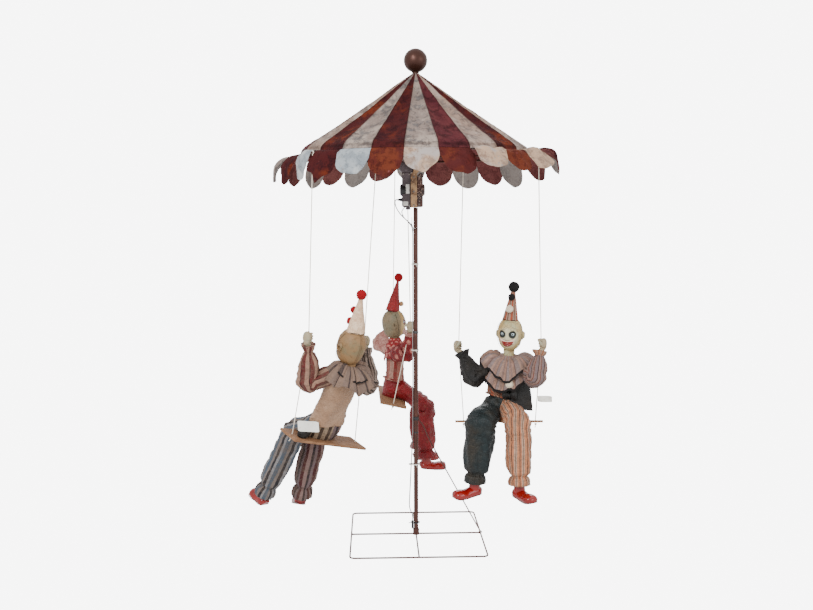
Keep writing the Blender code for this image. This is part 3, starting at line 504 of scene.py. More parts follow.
@dataclass(frozen=True)
class PlainCloth(Finish):
    """Costume cloth of one dye that has faded and picked up soil unevenly, with painted shade along its
    creases.
    """

    base: Tint = (0.3, 0.3, 0.3)
    faded: Tint = (0.4, 0.4, 0.4)
    soil_and_fold_shade: Tint = (0.15, 0.13, 0.12)
    roughness: float = 0.62
    sheen: float = 0.03
    dots: Tint | None = None
    dot_grid: tuple[float, float] = (9.0, 38.0)
    dot_size: float = 0.27
    mottle: float = 0.7

    def draw(self) -> bpy.types.Material:
        """Fading in patches, soil, dots where it has them, painted shade along the crease lines, and the
        weave.
        """
        fixed = {"Specular IOR Level": 0.22, "Sheen Weight": self.sheen, "Sheen Roughness": 0.45}
        r = Recipe(self.name, fixed)
        place = r.place()
        broad = r.noise(place, 11.0, 3.0, 0.55)
        small = r.noise(place, 70.0, 4.0, 0.6)
        colour = r.mix(self.base, self.faded, broad.step(0.38, 0.66))
        if self.dots is not None:
            across, along = r.cloth_place()
            row = along * self.dot_grid[1]
            shifted = across * self.dot_grid[0] + (row - row.fraction()) * 0.5
            beside, above = shifted.fraction() - 0.5, row.fraction() - 0.5
            far = (beside * beside + above * above) ** 0.5
            dot = far.step(self.dot_size + 0.03, self.dot_size - 0.03)
            colour = r.mix(colour, self.dots, dot * 0.9)
        ridge = r.ridges(place, 34.0)
        colour = r.mix(colour, self.soil_and_fold_shade, small.step(0.48, 0.68) * 0.6 * self.mottle)
        # painted shade: darker along the crease lines that the bump dents in
        colour = r.mix(colour, self.soil_and_fold_shade, ridge.step(0.10, 0.0) * 0.8 * self.mottle)
        rough = self.roughness + (broad - 0.5) * 0.25
        return r.feed(Base_Color=colour, Roughness=rough, Normal=r.crumpled(place, small, ridge))


PLYWOOD_GRAIN = (
    (0.30, (0.130, 0.058, 0.026)),
    (0.52, (0.215, 0.105, 0.050)),
    (0.75, (0.290, 0.155, 0.078)),
)


@dataclass(frozen=True)
class Plywood(Finish):
    """Pale plywood, its grain along the board and worn in spots."""

    turn: float = 0.0

    def draw(self) -> bpy.types.Material:
        """Grain lines stretched along the board, knots of tone and worn spots."""
        r = Recipe(self.name, {"Specular IOR Level": 0.3})
        place = r.place()
        sockets = {"Vector": place, "Angle": -self.turn}
        turned = r.node("ShaderNodeVectorRotate", {"rotation_type": "Z_AXIS"}, sockets)
        grain = r.noise(r.stretched(turned, (6.0, 95.0, 95.0)), 1.6, 4.0, 0.6)
        fine = r.noise(r.stretched(turned, (20.0, 420.0, 420.0)), 1.5, 2.0, 0.6)
        broad = r.noise(place, 13.0, 3.0)
        colour = r.ramp(grain, PLYWOOD_GRAIN)
        colour = r.mix(colour, (0.10, 0.045, 0.020), fine.step(0.55, 0.72) * 0.4)
        colour = r.mix(colour, (0.145, 0.070, 0.034), broad.step(0.5, 0.8) * 0.6)
        normal = r.bump(grain * 0.6 + fine * 0.4, 0.0004, 0.6)
        return r.feed(Base_Color=colour, Roughness=0.58 + fine * 0.25, Normal=normal)


@dataclass(frozen=True)
class Yarn(Finish):
    """Cotton rope, elastic or a woollen pompon: fuzzy fibre of one colour."""

    base: Tint = (0.74, 0.66, 0.55)
    shade: Tint = (0.42, 0.34, 0.26)
    fibre: float = 700.0
    depth: float = 0.0008
    sheen: float = 0.1

    def draw(self) -> bpy.types.Material:
        """Fibres that catch light, with a darker tone between them."""
        fixed = {"Roughness": 0.9, "Specular IOR Level": 0.2, "Sheen Weight": self.sheen}
        r = Recipe(self.name, fixed)
        place = r.place()
        fibres = r.noise(place, self.fibre, 2.0, 0.6)
        broad = r.noise(place, 30.0, 3.0)
        colour = r.mix(self.base, self.shade, fibres.step(0.45, 0.75) * 0.7)
        colour = r.mix(colour, self.shade, broad.step(0.5, 0.8) * 0.4)
        return r.feed(Base_Color=colour, Normal=r.bump(fibres, self.depth, 0.7))


@dataclass(frozen=True)
class GlossShell(Finish):
    """Hard glossy plastic or enamel: shoes, eyes, lips."""

    base: Tint = (0.215, 0.004, 0.002)
    deep: Tint = (0.10, 0.002, 0.0015)
    roughness: float = 0.20
    coat: float = 0.3

    def draw(self) -> bpy.types.Material:
        """Deep colour under a coat that fine scratches dull in places."""
        fixed = {"Coat Weight": self.coat, "Coat Roughness": 0.08, "Specular IOR Level": 0.35}
        r = Recipe(self.name, fixed)
        place = r.place()
        broad = r.noise(place, 28.0, 3.0)
        scuffs = r.noise(r.stretched(place, (1.0, 3.0, 1.0)), 260.0, 3.0, 0.7)
        colour = r.mix(self.base, self.deep, broad.step(0.45, 0.75) * 0.7)
        rough = self.roughness + scuffs.step(0.55, 0.75) * 0.25
        normal = r.bump(broad + scuffs * 0.1, 0.0004, 0.4)
        return r.feed(Base_Color=colour, Roughness=rough, Normal=normal)


@dataclass(frozen=True)
class DollSkin(Finish):
    """Painted rubber skin with stains and fine cracks, and face paint where it is a face."""

    base: Tint = (0.40, 0.30, 0.135)
    stain: Tint = (0.22, 0.11, 0.038)
    cool: Tint = (0.34, 0.34, 0.20)
    rings: Tint | None = None
    seam: bool = False

    def draw(self) -> bpy.types.Material:
        """Stains and cracks everywhere, then eye rings, a pale mouth and brows on a face."""
        r = Recipe(self.name, {"Specular IOR Level": 0.25})
        place = r.place()
        broad = r.noise(place, 17.0, 4.0, 0.6)
        small = r.noise(place, 75.0, 4.0, 0.65)
        lines = r.cracks(r.stretched(place, (1.0, 1.0, 0.8)), 62.0)
        colour = r.mix(self.base, self.cool, broad.step(0.45, 0.70))
        colour = r.mix(colour, self.stain, small.step(0.52, 0.72) * 0.55)
        cracked = lines.step(0.030, 0.0) * small.step(0.48, 0.62)
        colour = r.mix(colour, self.stain, cracked * 0.8)
        height = small * 0.6 + lines.step(0.03, 0.0) * -0.6
        if self.rings is not None:
            colour = self._face(r, colour, small, lines)
        if self.seam:
            across, _ = r.cloth_place()
            back = abs(abs(across) - BACK_SEAM)
            colour = r.mix(colour, self.stain, back.step(0.0022, 0.0006) * 0.7)
            height = height - back.step(0.0022, 0.0004)
        normal = r.bump(height, 0.0008, 0.5)
        return r.feed(Base_Color=colour, Roughness=0.42 + broad * 0.2, Normal=normal)

    def _face(self, r: Recipe, colour: Socket, small: Socket, lines: Socket) -> Socket:
        """Adds the painted face, with painted light that warms one side of it.

        Args:
            r: the material's recipe.
            colour: the skin's colour so far.
            small: fine noise, to make the paint's edges uneven.
            lines: how far the nearest crack is.

        Returns:
            The colour with the paint on.
        """
        across, rise = r.cloth_place()
        beside = abs(across) - EYE_ACROSS
        above = rise - EYE_RISE
        uneven = (small - 0.5) * 0.0045
        far = (beside * beside + above * above) ** 0.5 + uneven
        front = abs(across).step(0.052, 0.040)
        low = rise + 0.008
        white = ((across * across * 0.55) + low * low) ** 0.5 + uneven
        colour = r.mix(colour, (0.50, 0.49, 0.33), white.step(0.044, 0.026) * 0.75 * front)
        # painted light: a warm tint on the doll's right side of the face, as on a lit side
        colour = r.mix(colour, (0.40, 0.235, 0.075), across.step(0.008, 0.040) * 0.75 * front)
        smoke = far.step(0.0175, 0.0125) * 0.6
        colour = r.mix(colour, (0.055, 0.060, 0.045), smoke * front)
        ring = far.step(0.0150, 0.0132)
        colour = r.mix(colour, self.rings, ring * 0.97 * front)
        brow_line = rise - (0.0235 - (across * across) * 6.0)
        brow_end = abs(abs(across) - 0.017).step(0.011, 0.008)
        brow = abs(brow_line + uneven).step(0.0016, 0.0007) * brow_end
        colour = r.mix(colour, (0.10, 0.07, 0.05), brow * 0.55 * front)
        smile = rise - (MOUTH_RISE + across * across * 11.0)
        width = abs(across).step(0.0300, 0.0235)
        grin = abs(smile - 0.0020 + uneven * 0.5)
        colour = r.mix(colour, (0.70, 0.52, 0.40), grin.step(0.0115, 0.0095) * width * front)
        paint = (((across / 0.0250) ** 2) + ((smile + 0.0010) / 0.0082) ** 2) ** 0.5
        lips = (paint + uneven * 12.0).step(1.05, 0.90)
        colour = r.mix(colour, (0.20, 0.010, 0.006), lips * front)
        outline = abs(grin - 0.0105).step(0.0012, 0.0004)
        colour = r.mix(colour, (0.07, 0.030, 0.022), outline * width * 0.85 * front)
        cracked = lines.step(0.045, 0.0) * rise.step(0.008, 0.020) * front
        return r.mix(colour, (0.09, 0.075, 0.050), cracked * 0.9)


@dataclass(frozen=True)
class Paper(Finish):
    """A blank card or label, yellowed and a little creased."""

    base: Tint = (0.78, 0.76, 0.70)
    aged: Tint = (0.60, 0.52, 0.40)

    def draw(self) -> bpy.types.Material:
        """Fibres and handling marks."""
        r = Recipe(self.name, {"Specular IOR Level": 0.3})
        place = r.place()
        broad = r.noise(place, 90.0, 4.0, 0.6)
        fibres = r.noise(place, 1200.0, 2.0)
        colour = r.mix(self.base, self.aged, broad.step(0.50, 0.78) * 0.8)
        normal = r.bump(fibres, 0.0001, 0.5)
        return r.feed(Base_Color=colour, Roughness=0.6 + fibres * 0.3, Normal=normal)


STEEL = RodPaint("red_brown_rod_paint")
BALL_BRONZE = RodPaint(
    "bronze_ball_paint",
    base=(0.046, 0.016, 0.010),
    rubbed=(0.085, 0.036, 0.024),
    dust=(0.11, 0.06, 0.045),
    metallic=0.65,
    roughness=(0.30, 0.46),
)
GREY_CASE = MouldedShell(
    "grey_purple_case", (0.060, 0.042, 0.046), (0.115, 0.085, 0.092), (0.02, 0.015, 0.015), 0.4
)
RUSTY_CASE = MouldedShell(
    "rusty_flecked_case",
    base=(0.026, 0.010, 0.009),
    patch=(0.085, 0.026, 0.016),
    speck=(0.480, 0.330, 0.260),
    specks=1.0,
    roughness=0.5,
    scale=1.3,
)
TAN_PLATE = MouldedShell(
    "tan_plate_board",
    base=(0.460, 0.270, 0.130),
    patch=(0.075, 0.026, 0.012),
    speck=(0.420, 0.290, 0.180),
    specks=0.9,
    roughness=0.5,
    scale=1.15,
)
BLACK_PLASTIC = MouldedShell(
    "black_plastic_moulding",
    (0.010, 0.010, 0.011),
    (0.022, 0.021, 0.022),
    (0.055, 0.050, 0.046),
    roughness=0.36,
)
BLACK_CABLE = MouldedShell(
    "black_cable_sheath", (0.010, 0.010, 0.011), (0.022, 0.022, 0.023), (0.07, 0.065, 0.06), 0.35
)
GREY_CABLE = MouldedShell(
    "grey_cable_sheath", (0.26, 0.24, 0.23), (0.34, 0.31, 0.29), (0.12, 0.10, 0.09), 0.35
)
WHITE_TIE = MouldedShell(
    "white_tie_plastic", (0.66, 0.63, 0.57), (0.52, 0.48, 0.42), (0.30, 0.24, 0.18), 0.4, 0.35
)
ZINC = MouldedShell(
    "dull_zinc", (0.20, 0.18, 0.17), (0.28, 0.25, 0.22), (0.10, 0.05, 0.03), 0.5, 0.38, 0.8
)
CARD = Paper("blank_card")
ROPE = Yarn("white_rope_yarn")
PALE_YARN = Yarn("pale_pompon_yarn", (0.66, 0.56, 0.42), (0.36, 0.27, 0.18), 520.0, 0.0016)
BLACK_YARN = Yarn("black_pompon_yarn", (0.008, 0.0075, 0.0075), (0.003, 0.003, 0.003), 520.0, 0.0016, 0.02)
RED_YARN = Yarn("red_pompon_yarn", (0.26, 0.0012, 0.0050), (0.10, 0.001, 0.003), 520.0, 0.0016, 0.03)
BEIGE_YARN = Yarn("beige_pompon_yarn", (0.36, 0.20, 0.10), (0.18, 0.09, 0.04), 420.0, 0.0018)
BLACK_TRIM = Yarn("black_trim_braid", (0.009, 0.007, 0.007), (0.004, 0.003, 0.003), 1200.0, 0.0004, 0.02)
SHOE_RED = GlossShell("glossy_red_shoe")
SHOE_SOLE = GlossShell("dark_shoe_sole", (0.10, 0.004, 0.003), (0.045, 0.002, 0.002), 0.4, 0.1)
LIP_RED = GlossShell("red_lip_enamel", (0.17, 0.007, 0.003), (0.07, 0.003, 0.002), 0.25, 0.3)
EYE_WHITE = GlossShell("eye_white_enamel", (0.70, 0.70, 0.60), (0.50, 0.50, 0.42), 0.12, 0.6)
EYE_IRIS = GlossShell("pale_blue_iris", (0.34, 0.44, 0.46), (0.18, 0.26, 0.30), 0.10, 0.8)
EYE_PUPIL = GlossShell("dark_pupil", (0.004, 0.005, 0.006), (0.002, 0.002, 0.003), 0.06, 1.0)
HAND_SKIN = DollSkin("doll_hand_skin", (0.32, 0.25, 0.155), (0.15, 0.085, 0.04), (0.27, 0.28, 0.20))

RUST_CLOTH = PaintedCloth(
    "rust_red_canopy_cloth",
    base=(0.046, 0.0085, 0.0090),
    patch=(0.105, 0.0190, 0.0080),
    stain=(0.026, 0.0068, 0.0090),
    crease=(0.011, 0.003, 0.003),
    patches=(0.47, 0.66),
)
PALE_CLOTH = PaintedCloth(
    "mottled_pale_canopy_cloth",
    base=(0.200, 0.155, 0.134),
    patch=(0.310, 0.250, 0.212),
    stain=(0.088, 0.084, 0.085),
    crease=(0.055, 0.040, 0.034),
    patches=(0.47, 0.60),
    creases=0.70,
    seams=0.45,
)
ICE_CLOTH = PaintedCloth(
    "ice_grey_tab_cloth",
    base=(0.290, 0.315, 0.335),
    patch=(0.42, 0.43, 0.43),
    stain=(0.180, 0.205, 0.230),
    crease=(0.10, 0.11, 0.12),
    patches=(0.5, 0.6),
    creases=0.5,
    seams=0.3,
)
PEACH_CLOTH = PaintedCloth(
    "peach_tab_cloth",
    base=(0.40, 0.27, 0.185),
    patch=(0.34, 0.30, 0.28),
    stain=(0.23, 0.155, 0.115),
    crease=(0.13, 0.075, 0.055),
    patches=(0.45, 0.6),
    creases=0.5,
    seams=0.3,
)
ORANGE_CLOTH = PaintedCloth(
    "rust_orange_tab_cloth",
    base=(0.105, 0.0240, 0.0120),
    patch=(0.060, 0.0130, 0.0125),
    stain=(0.062, 0.0115, 0.0100),
    crease=(0.022, 0.005, 0.004),
    patches=(0.44, 0.56),
)
PLUM_CLOTH = PaintedCloth(
    "plum_canopy_cloth",
    base=(0.066, 0.0150, 0.0185),
    patch=(0.092, 0.0225, 0.0240),
    stain=(0.034, 0.0085, 0.0105),
    crease=(0.012, 0.003, 0.004),
    patches=(0.45, 0.62),
)
SALLOW_CLOTH = PaintedCloth(
    "sallow_canopy_cloth",
    base=(0.255, 0.176, 0.138),
    patch=(0.315, 0.250, 0.212),
    stain=(0.130, 0.102, 0.092),
    crease=(0.07, 0.045, 0.035),
    patches=(0.45, 0.6),
    creases=0.6,
    seams=0.45,
)
RUST_LINING = PaintedCloth(
    "faded_red_lining",
    base=(0.150, 0.048, 0.046),
    patch=(0.190, 0.066, 0.060),
    stain=(0.110, 0.032, 0.032),
    crease=(0.05, 0.016, 0.016),
)
PALE_LINING = PaintedCloth(
    "grey_lining",
    base=(0.280, 0.245, 0.225),
    patch=(0.350, 0.285, 0.250),
    stain=(0.210, 0.190, 0.180),
    crease=(0.12, 0.095, 0.085),
    patches=(0.5, 0.7),
    creases=0.4,
)


# Meshes


def wrapped(columns: int, spacing: float) -> Placer:
    """Places by the share round, in rows that are this many metres apart."""
    return lambda row, column: (column / columns, row * spacing)


def measured(columns: int, runs: Sequence[float]) -> Placer:
    """Places by the share round and the metres along."""
    return lambda row, column: (column / columns, runs[min(row, len(runs) - 1)])


def plain(number: int) -> Picker:
    """One finish for all faces."""
    return lambda row, column: number


def clamped(value: float) -> float:
    """The value, kept from 0 to 1."""
    return max(0.0, min(1.0, value))


def bell(value: float, middle: float, width: float) -> float:
    """1 at the middle, and less the further away."""
    return math.exp(-(((value - middle) / width) ** 2))


def circle(centre: Vector, first: Vector, second: Vector, count: int) -> list[Vector]:
    """Points round a circle or ellipse that has these two half axes."""
    turns = [2 * math.pi * step / count for step in range(count)]
    return [centre + first * math.cos(turn) + second * math.sin(turn) for turn in turns]


def placed(name: str, data: bpy.types.ID) -> bpy.types.Object:
    """Puts a new object into the scene."""
    made = bpy.data.objects.new(name, data)
    bpy.context.scene.collection.objects.link(made)
    return made


@dataclass
class Pattern:
    """Points, faces and places on the cloth, gathered for one piece before it is made."""

    points: list[Vector] = field(default_factory=list)
    faces: list[tuple[int, ...]] = field(default_factory=list)
    places: list[Place] = field(default_factory=list)
    finishes: list[int] = field(default_factory=list)

    def grid(
        self,
        rows: Rows,
        place: Placer,
        finish: Picker = plain(0),
        round_rows: bool = False,
        capped: bool = True,
    ) -> None:
        """Joins rows of equally many points into a surface, the last column to the first.

        Args:
            rows: the points.
            place: where on the cloth the point of a row and a column is.
            finish: which finish the face after a row and a column has.
            round_rows: whether the last row joins the first.
            capped: whether the first and the last row are closed with a face.
        """
        start, count = len(self.points), len(rows[0])
        self.points.extend(point for row in rows for point in row)
        for row in range(len(rows) if round_rows else len(rows) - 1):
            after = (row + 1) % len(rows)
            here, there = start + row * count, start + after * count
            for column in range(count):
                beside = (column + 1) % count
                self.faces.append((here + column, here + beside, there + beside, there + column))
                corners = ((row, column), (row, column + 1), (row + 1, column + 1), (row + 1, column))
                self.places.extend(place(*corner) for corner in corners)
                self.finishes.append(finish(row, column))
        if capped and not round_rows:
            for row in (0, len(rows) - 1):
                self.faces.append(tuple(start + row * count + column for column in range(count)))
                self.places.extend(place(row, column) for column in range(count))
                self.finishes.append(finish(min(row, len(rows) - 2), 0))

    def leaf(
        self,
        rows: Rows,
        thickness: float,
        place: Placer,
        outer: int = 0,
        inner: int = 0,
    ) -> None:
        """Adds an open piece of cloth with two layers and closed edges.

        Args:
            rows: the points of the outer layer.
            thickness: how far below it the inner layer is.
            place: where on the cloth the point of a row and a column is.
            outer: the outer layer's finish.
            inner: the inner layer's finish.
        """
        count = len(rows[0])
        last_row = len(rows) - 1
        loops = []
        for index, row in enumerate(rows):
            above, below = rows[max(index - 1, 0)], rows[min(index + 1, last_row)]
            under = []
            for column, point in enumerate(row):
                beside = row[min(column + 1, count - 1)] - row[max(column - 1, 0)]
                onward = below[column] - above[column]
                under.append(point - beside.cross(onward).normalized() * thickness)
            loops.append([*row, *reversed(under)])

        def folded(row: int, column: int) -> Place:
            """The place of a point on either layer."""
            return place(row, column if column < count else max(2 * count - 1 - column, 0))

        def layer(row: int, column: int) -> int:
            """The finish of the layer that a face is on."""
            return outer if column < count else inner

        start = len(self.points)
        self.grid(loops, folded, layer, capped=False)
        for row in (0, last_row):
            base = start + row * 2 * count
            for column in range(count - 1):
                far = base + 2 * count - 1 - column
                self.faces.append((base + column, base + column + 1, far - 1, far))
                corners = (column, column + 1, column + 1, column)
                self.places.extend(place(row, corner) for corner in corners)
                self.finishes.append(outer)

    def make(self, name: str, finishes: Sequence[Finish], body: Body, slot: str) -> bpy.types.Object:
        """Makes the piece.

        Args:
            name: the piece's name.
            finishes: the finishes that its faces name by number.
            body: the CAD body that it rides on.
            slot: not used.

        Returns:
            The object, riding on its body.
        """
        mesh = bpy.data.meshes.new(name)
        mesh.from_pydata([tuple(point) for point in self.points], [], self.faces)
        for finish in finishes:
            mesh.materials.append(finish.material())
        mesh.polygons.foreach_set("material_index", self.finishes)
        layer = mesh.uv_layers.new(name=CLOTH_MAP)
        layer.data.foreach_set("uv", [number for place in self.places for number in place])
        work = bmesh.new()
        work.from_mesh(mesh)
        bmesh.ops.recalc_face_normals(work, faces=work.faces)
        work.to_mesh(mesh)
        work.free()
        mesh.shade_smooth()
        mesh.set_sharp_from_angle(angle=math.radians(SMOOTH_ANGLE))
        made = placed(name, mesh)
        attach(made, body.value)
        log.info("%s: %d faces on %s", name, len(self.faces), body.value)
        return made


@dataclass(frozen=True)
class Station:
    """A section of a tube: where it is and its half width and half depth."""

    point: Vector
    width: float
    depth: float


def catmull(values: Sequence[Vector], share: float) -> Vector:
    """A smooth value between evenly counted ones.

    Args:
        values: the values to pass through.
        share: the place along them, from 0 to their number less one.

    Returns:
        The value there.
    """
    last = len(values) - 1
    index = min(int(share), last - 1)
    t = share - index
    b, c = values[index], values[index + 1]
    a = values[index - 1] if index > 0 else 2 * b - c
    d = values[index + 2] if index + 2 <= last else 2 * c - b
    bend, twist = 2 * a - 5 * b + 4 * c - d, 3 * b - a - 3 * c + d
    return 0.5 * (2 * b + (c - a) * t + bend * t * t + twist * t**3)


def no_fold(station: float, angle: float, point: Vector) -> float:
    """A surface without folds."""
    return 0.0


def tube_rows(
    stations: Sequence[Station], rings: int, columns: int, side: Vector, fold: Fold = no_fold
) -> tuple[list[list[Vector]], list[float]]:
    """Rings of points along a smooth tube.

    Args:
        stations: the sections to pass through.
        rings: how many rings between two sections.
        columns: how many points in a ring.
        side: which way a section's width lies.
        fold: how far out a fold lifts a point, from its section number, angle and place.

    Returns:
        The rings, and how far along the tube each one is.
    """
    centres = [station.point for station in stations]
    sizes = [Vector((station.width, station.depth, 0.0)) for station in stations]
    total = (len(stations) - 1) * rings
    rows, runs, run = [], [], 0.0
    before = centres[0]
    for step in range(total + 1):
        share = step / rings
        centre = catmull(centres, share)
        size = catmull(sizes, share)
        ahead = catmull(centres, min(share + 0.05, len(centres) - 1))
        behind = catmull(centres, max(share - 0.05, 0.0))
        along = (ahead - behind).normalized()
        across = (side - along * side.dot(along)).normalized()
        third = along.cross(across)
        run += (centre - before).length
        before = centre
        row = []
        for column in range(columns):
            angle = 2 * math.pi * column / columns
            spoke = across * math.cos(angle) * size.x + third * math.sin(angle) * size.y
            point = centre + spoke
            row.append(point + spoke.normalized() * fold(share, angle, point))
        rows.append(row)
        runs.append(run)
    return rows, runs


def crumple(point: Vector, broad: float, fine: float, seed: float = 0.0) -> float:
    """Uneven cloth, from large soft swells to small creases.

    Args:
        point: where, in metres.
        broad: how high the swells are.
        fine: how high the creases are.
        seed: moves the pattern.

    Returns:
        The height in metres.
    """
    shifted = point + Vector((seed, seed * 0.7, seed * 1.3))
    swell = noise.noise(shifted * 19.0)
    crease = 1.0 - 2.0 * abs(noise.noise(shifted * 46.0 + Vector((3.1, 0.4, 7.7))))
    small = noise.noise(shifted * 110.0)
    return broad * swell + fine * (crease * 0.7 + small * 0.3)


def tube(
    pattern: Pattern,
    stations: Sequence[Station],
    rings: int,
    columns: int,
    side: Vector,
    fold: Fold = no_fold,
    finish: Picker = plain(0),
) -> None:
    """Adds a closed tube, its place on the cloth being the share round and the metres along."""
    rows, runs = tube_rows(stations, rings, columns, side, fold)
    pattern.grid(rows, measured(columns, runs), finish)


def rod(
    pattern: Pattern, route: Sequence[Vector], radius: float, columns: int = 12, finish: int = 0
) -> None:
    """Adds a round rod or wire along a route of points."""
    stations = [Station(point, radius, radius) for point in route]
    along = (route[-1] - route[0]).normalized()
    side = BACKWARDS if abs(along.y) < 0.8 else RIGHTWARDS
    rings = 4 if len(route) > 2 else 1
    tube(pattern, stations, rings, columns, side, finish=plain(finish))


def lathe(pattern: Pattern, sections: Sequence[tuple[float, float]], columns: int = 32) -> None:
    """Adds a piece turned round the pole's axis, with its sharp steps kept.

    Args:
        pattern: the piece that it is added to.
        sections: each section's height and radius, from below.
        columns: points round it.
    """
    rows = [
        circle(UP * height, RIGHTWARDS * radius, BACKWARDS * radius, columns)
        for height, radius in sections
    ]
    pattern.grid(rows, measured(columns, [height for height, _ in sections]))


def dome(
    pattern: Pattern,
    centre: Vector,
    radius: float,
    up: Vector = UP,
    columns: int = 32,
    rows: int = 16,
    bottom: float = math.pi,
    lift: Fold = no_fold,
    finish: Picker = plain(0),
) -> None:
    """Adds a ball, or the part of one round its top.

    Args:
        pattern: the piece that it is added to.
        centre: its centre.
        radius: its radius.
        up: where its top is.
        columns: points round it.
        rows: rings down it.
        bottom: the angle from the top at which it ends.
        lift: how far out a point is lifted.
        finish: which finish each face has.
    """
    up = up.normalized()
    side = up.orthogonal().normalized()
    third = up.cross(side)
    hole = 0.02
    rings = []
    for row in range(rows + 1):
        if bottom < math.pi:
            polar_angle = max(hole, bottom * row / rows)
        else:
            polar_angle = hole + (math.pi - 2 * hole) * row / rows
        ring = []
        for column in range(columns):
            angle = 2 * math.pi * column / columns
            spoke = (
                up * math.cos(polar_angle)
                + (side * math.cos(angle) + third * math.sin(angle)) * math.sin(polar_angle)
            )
            point = centre + spoke * radius
            ring.append(point + spoke * lift(row / rows, angle, point))
        rings.append(ring)
    pattern.grid(rings, wrapped(columns, 1 / rows), finish)


def slab(pattern: Pattern, centre: Vector, axes: Sequence[Vector], round_off: float) -> None:
    """Adds a plate with rounded corners.

    Args:
        pattern: the piece that it is added to.
        centre: its centre.
        axes: half its length, half its width and half its thickness, as vectors.
        round_off: the radius of its corners.
    """
    length, width, thick = axes
    half_length, half_width = length.length, width.length
    x_axis, y_axis = length.normalized(), width.normalized()
    outline = []
    for quarter in range(4):
        sign_x = 1.0 if quarter in (0, 3) else -1.0
        sign_y = 1.0 if quarter in (0, 1) else -1.0
        for step in range(5):
            angle = (quarter + step / 4) * math.pi / 2
            outline.append(
                x_axis * (sign_x * (half_length - round_off) + round_off * math.cos(angle))
                + y_axis * (sign_y * (half_width - round_off) + round_off * math.sin(angle))
            )
    trim = min(round_off * 0.3, thick.length * 0.5)
    shrink = 1.0 - trim / max(half_length, half_width)
    inset = thick.normalized() * trim
    levels = ((-thick, shrink), (inset - thick, 1.0), (thick - inset, 1.0), (thick, shrink))
    rings = [[centre + level + point * size for point in outline] for level, size in levels]
    pattern.grid(rings, wrapped(len(outline), 0.002))


def polar(angle: float, radius: float, height: float) -> Vector:
    """The point at an angle round the pole."""
    return Vector((radius * math.cos(angle), radius * math.sin(angle), height))


def swing_angle(index: int) -> float:
    """Where a swing's arm is round the pole."""
    return math.radians(FIRST_SWING_ANGLE + SWING_STEP * index)


def dress(node: str, finish: Finish) -> None:
    """Gives a CAD node that stays its finish."""
    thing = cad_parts[node]
    material = finish.material()
    if not thing.material_slots:
        thing.data.materials.append(material)
    for spot in thing.material_slots:
        spot.link = "OBJECT"
        spot.material = material
    log.info("%s: kept from CAD, %s", node, finish.name)


# The studio


@dataclass(frozen=True)
class Studio:
    """Camera and soft light."""

    sky_strength: float = 1.45
    backdrop_strength: float = 7.5

    def build(self) -> None:
        """Sets up everything that isn't part of the object."""
        self.camera()
        self.sky()
        self.lamp("key_light", Vector((-1.8, -3.8, 3.4)), 1.3, 190.0)
        self.lamp("fill_light", Vector((3.2, -2.6, 2.2)), 2.2, 52.0)
        self.lamp("back_light", Vector((0.6, 3.4, 3.0)), 2.2, 50.0)

    def camera(self) -> None:
        """The camera, where the photograph was taken from."""
        ahead = Vector((math.sin(CAMERA_YAW), math.cos(CAMERA_YAW), 0.0)) * math.cos(CAMERA_PITCH)
        ahead.z = -math.sin(CAMERA_PITCH)
        right = Vector((math.cos(CAMERA_YAW), -math.sin(CAMERA_YAW), 0.0))
        up = right.cross(ahead)
        cos_roll, sin_roll = math.cos(CAMERA_ROLL), math.sin(CAMERA_ROLL)
        turned_right = right * cos_roll + up * sin_roll
        turned_up = up * cos_roll - right * sin_roll
        lens = bpy.data.cameras.new("photo_camera")
        lens.sensor_fit = "HORIZONTAL"
        lens.sensor_width = SENSOR_WIDTH
        lens.lens = FOCAL_PIXELS / IMAGE_WIDTH * SENSOR_WIDTH
        lens.clip_start = 0.05
        lens.clip_end = 100.0
        made = placed("photo_camera", lens)
        turn = Matrix((turned_right, turned_up, -ahead)).transposed()
        made.matrix_world = Matrix.Translation(CAMERA_PLACE) @ turn.to_4x4()
        bpy.context.scene.camera = made

    def sky(self) -> None:
        """Even white light from all round."""
        world = bpy.data.worlds.new("studio_sky")
        world.use_nodes = True
        tree = world.node_tree
        shade = tree.nodes["Background"]
        backdrop, path, choice = (
            tree.nodes.new("ShaderNode" + kind) for kind in ("Background", "LightPath", "MixShader")
        )
        for light, strength in ((shade, self.sky_strength), (backdrop, self.backdrop_strength)):
            light.inputs[0].default_value = (1.0, 1.0, 1.0, 1.0)
            light.inputs[1].default_value = strength
        tree.links.new(path.outputs["Is Camera Ray"], choice.inputs[0])
        tree.links.new(shade.outputs[0], choice.inputs[1])
        tree.links.new(backdrop.outputs[0], choice.inputs[2])
        tree.links.new(choice.outputs[0], tree.nodes["World Output"].inputs[0])
        bpy.context.scene.world = world

    def lamp(self, name: str, place: Vector, size: float, power: float) -> None:
        """A large soft lamp that looks at the middle of the object."""
        light = bpy.data.lights.new(name, "AREA")
        light.size = size
        light.energy = power
        made = placed(name, light)
        made.location = place
        made.rotation_mode = "QUATERNION"
        made.rotation_quaternion = (UP - place).to_track_quat("-Z", "Y")


# The stand


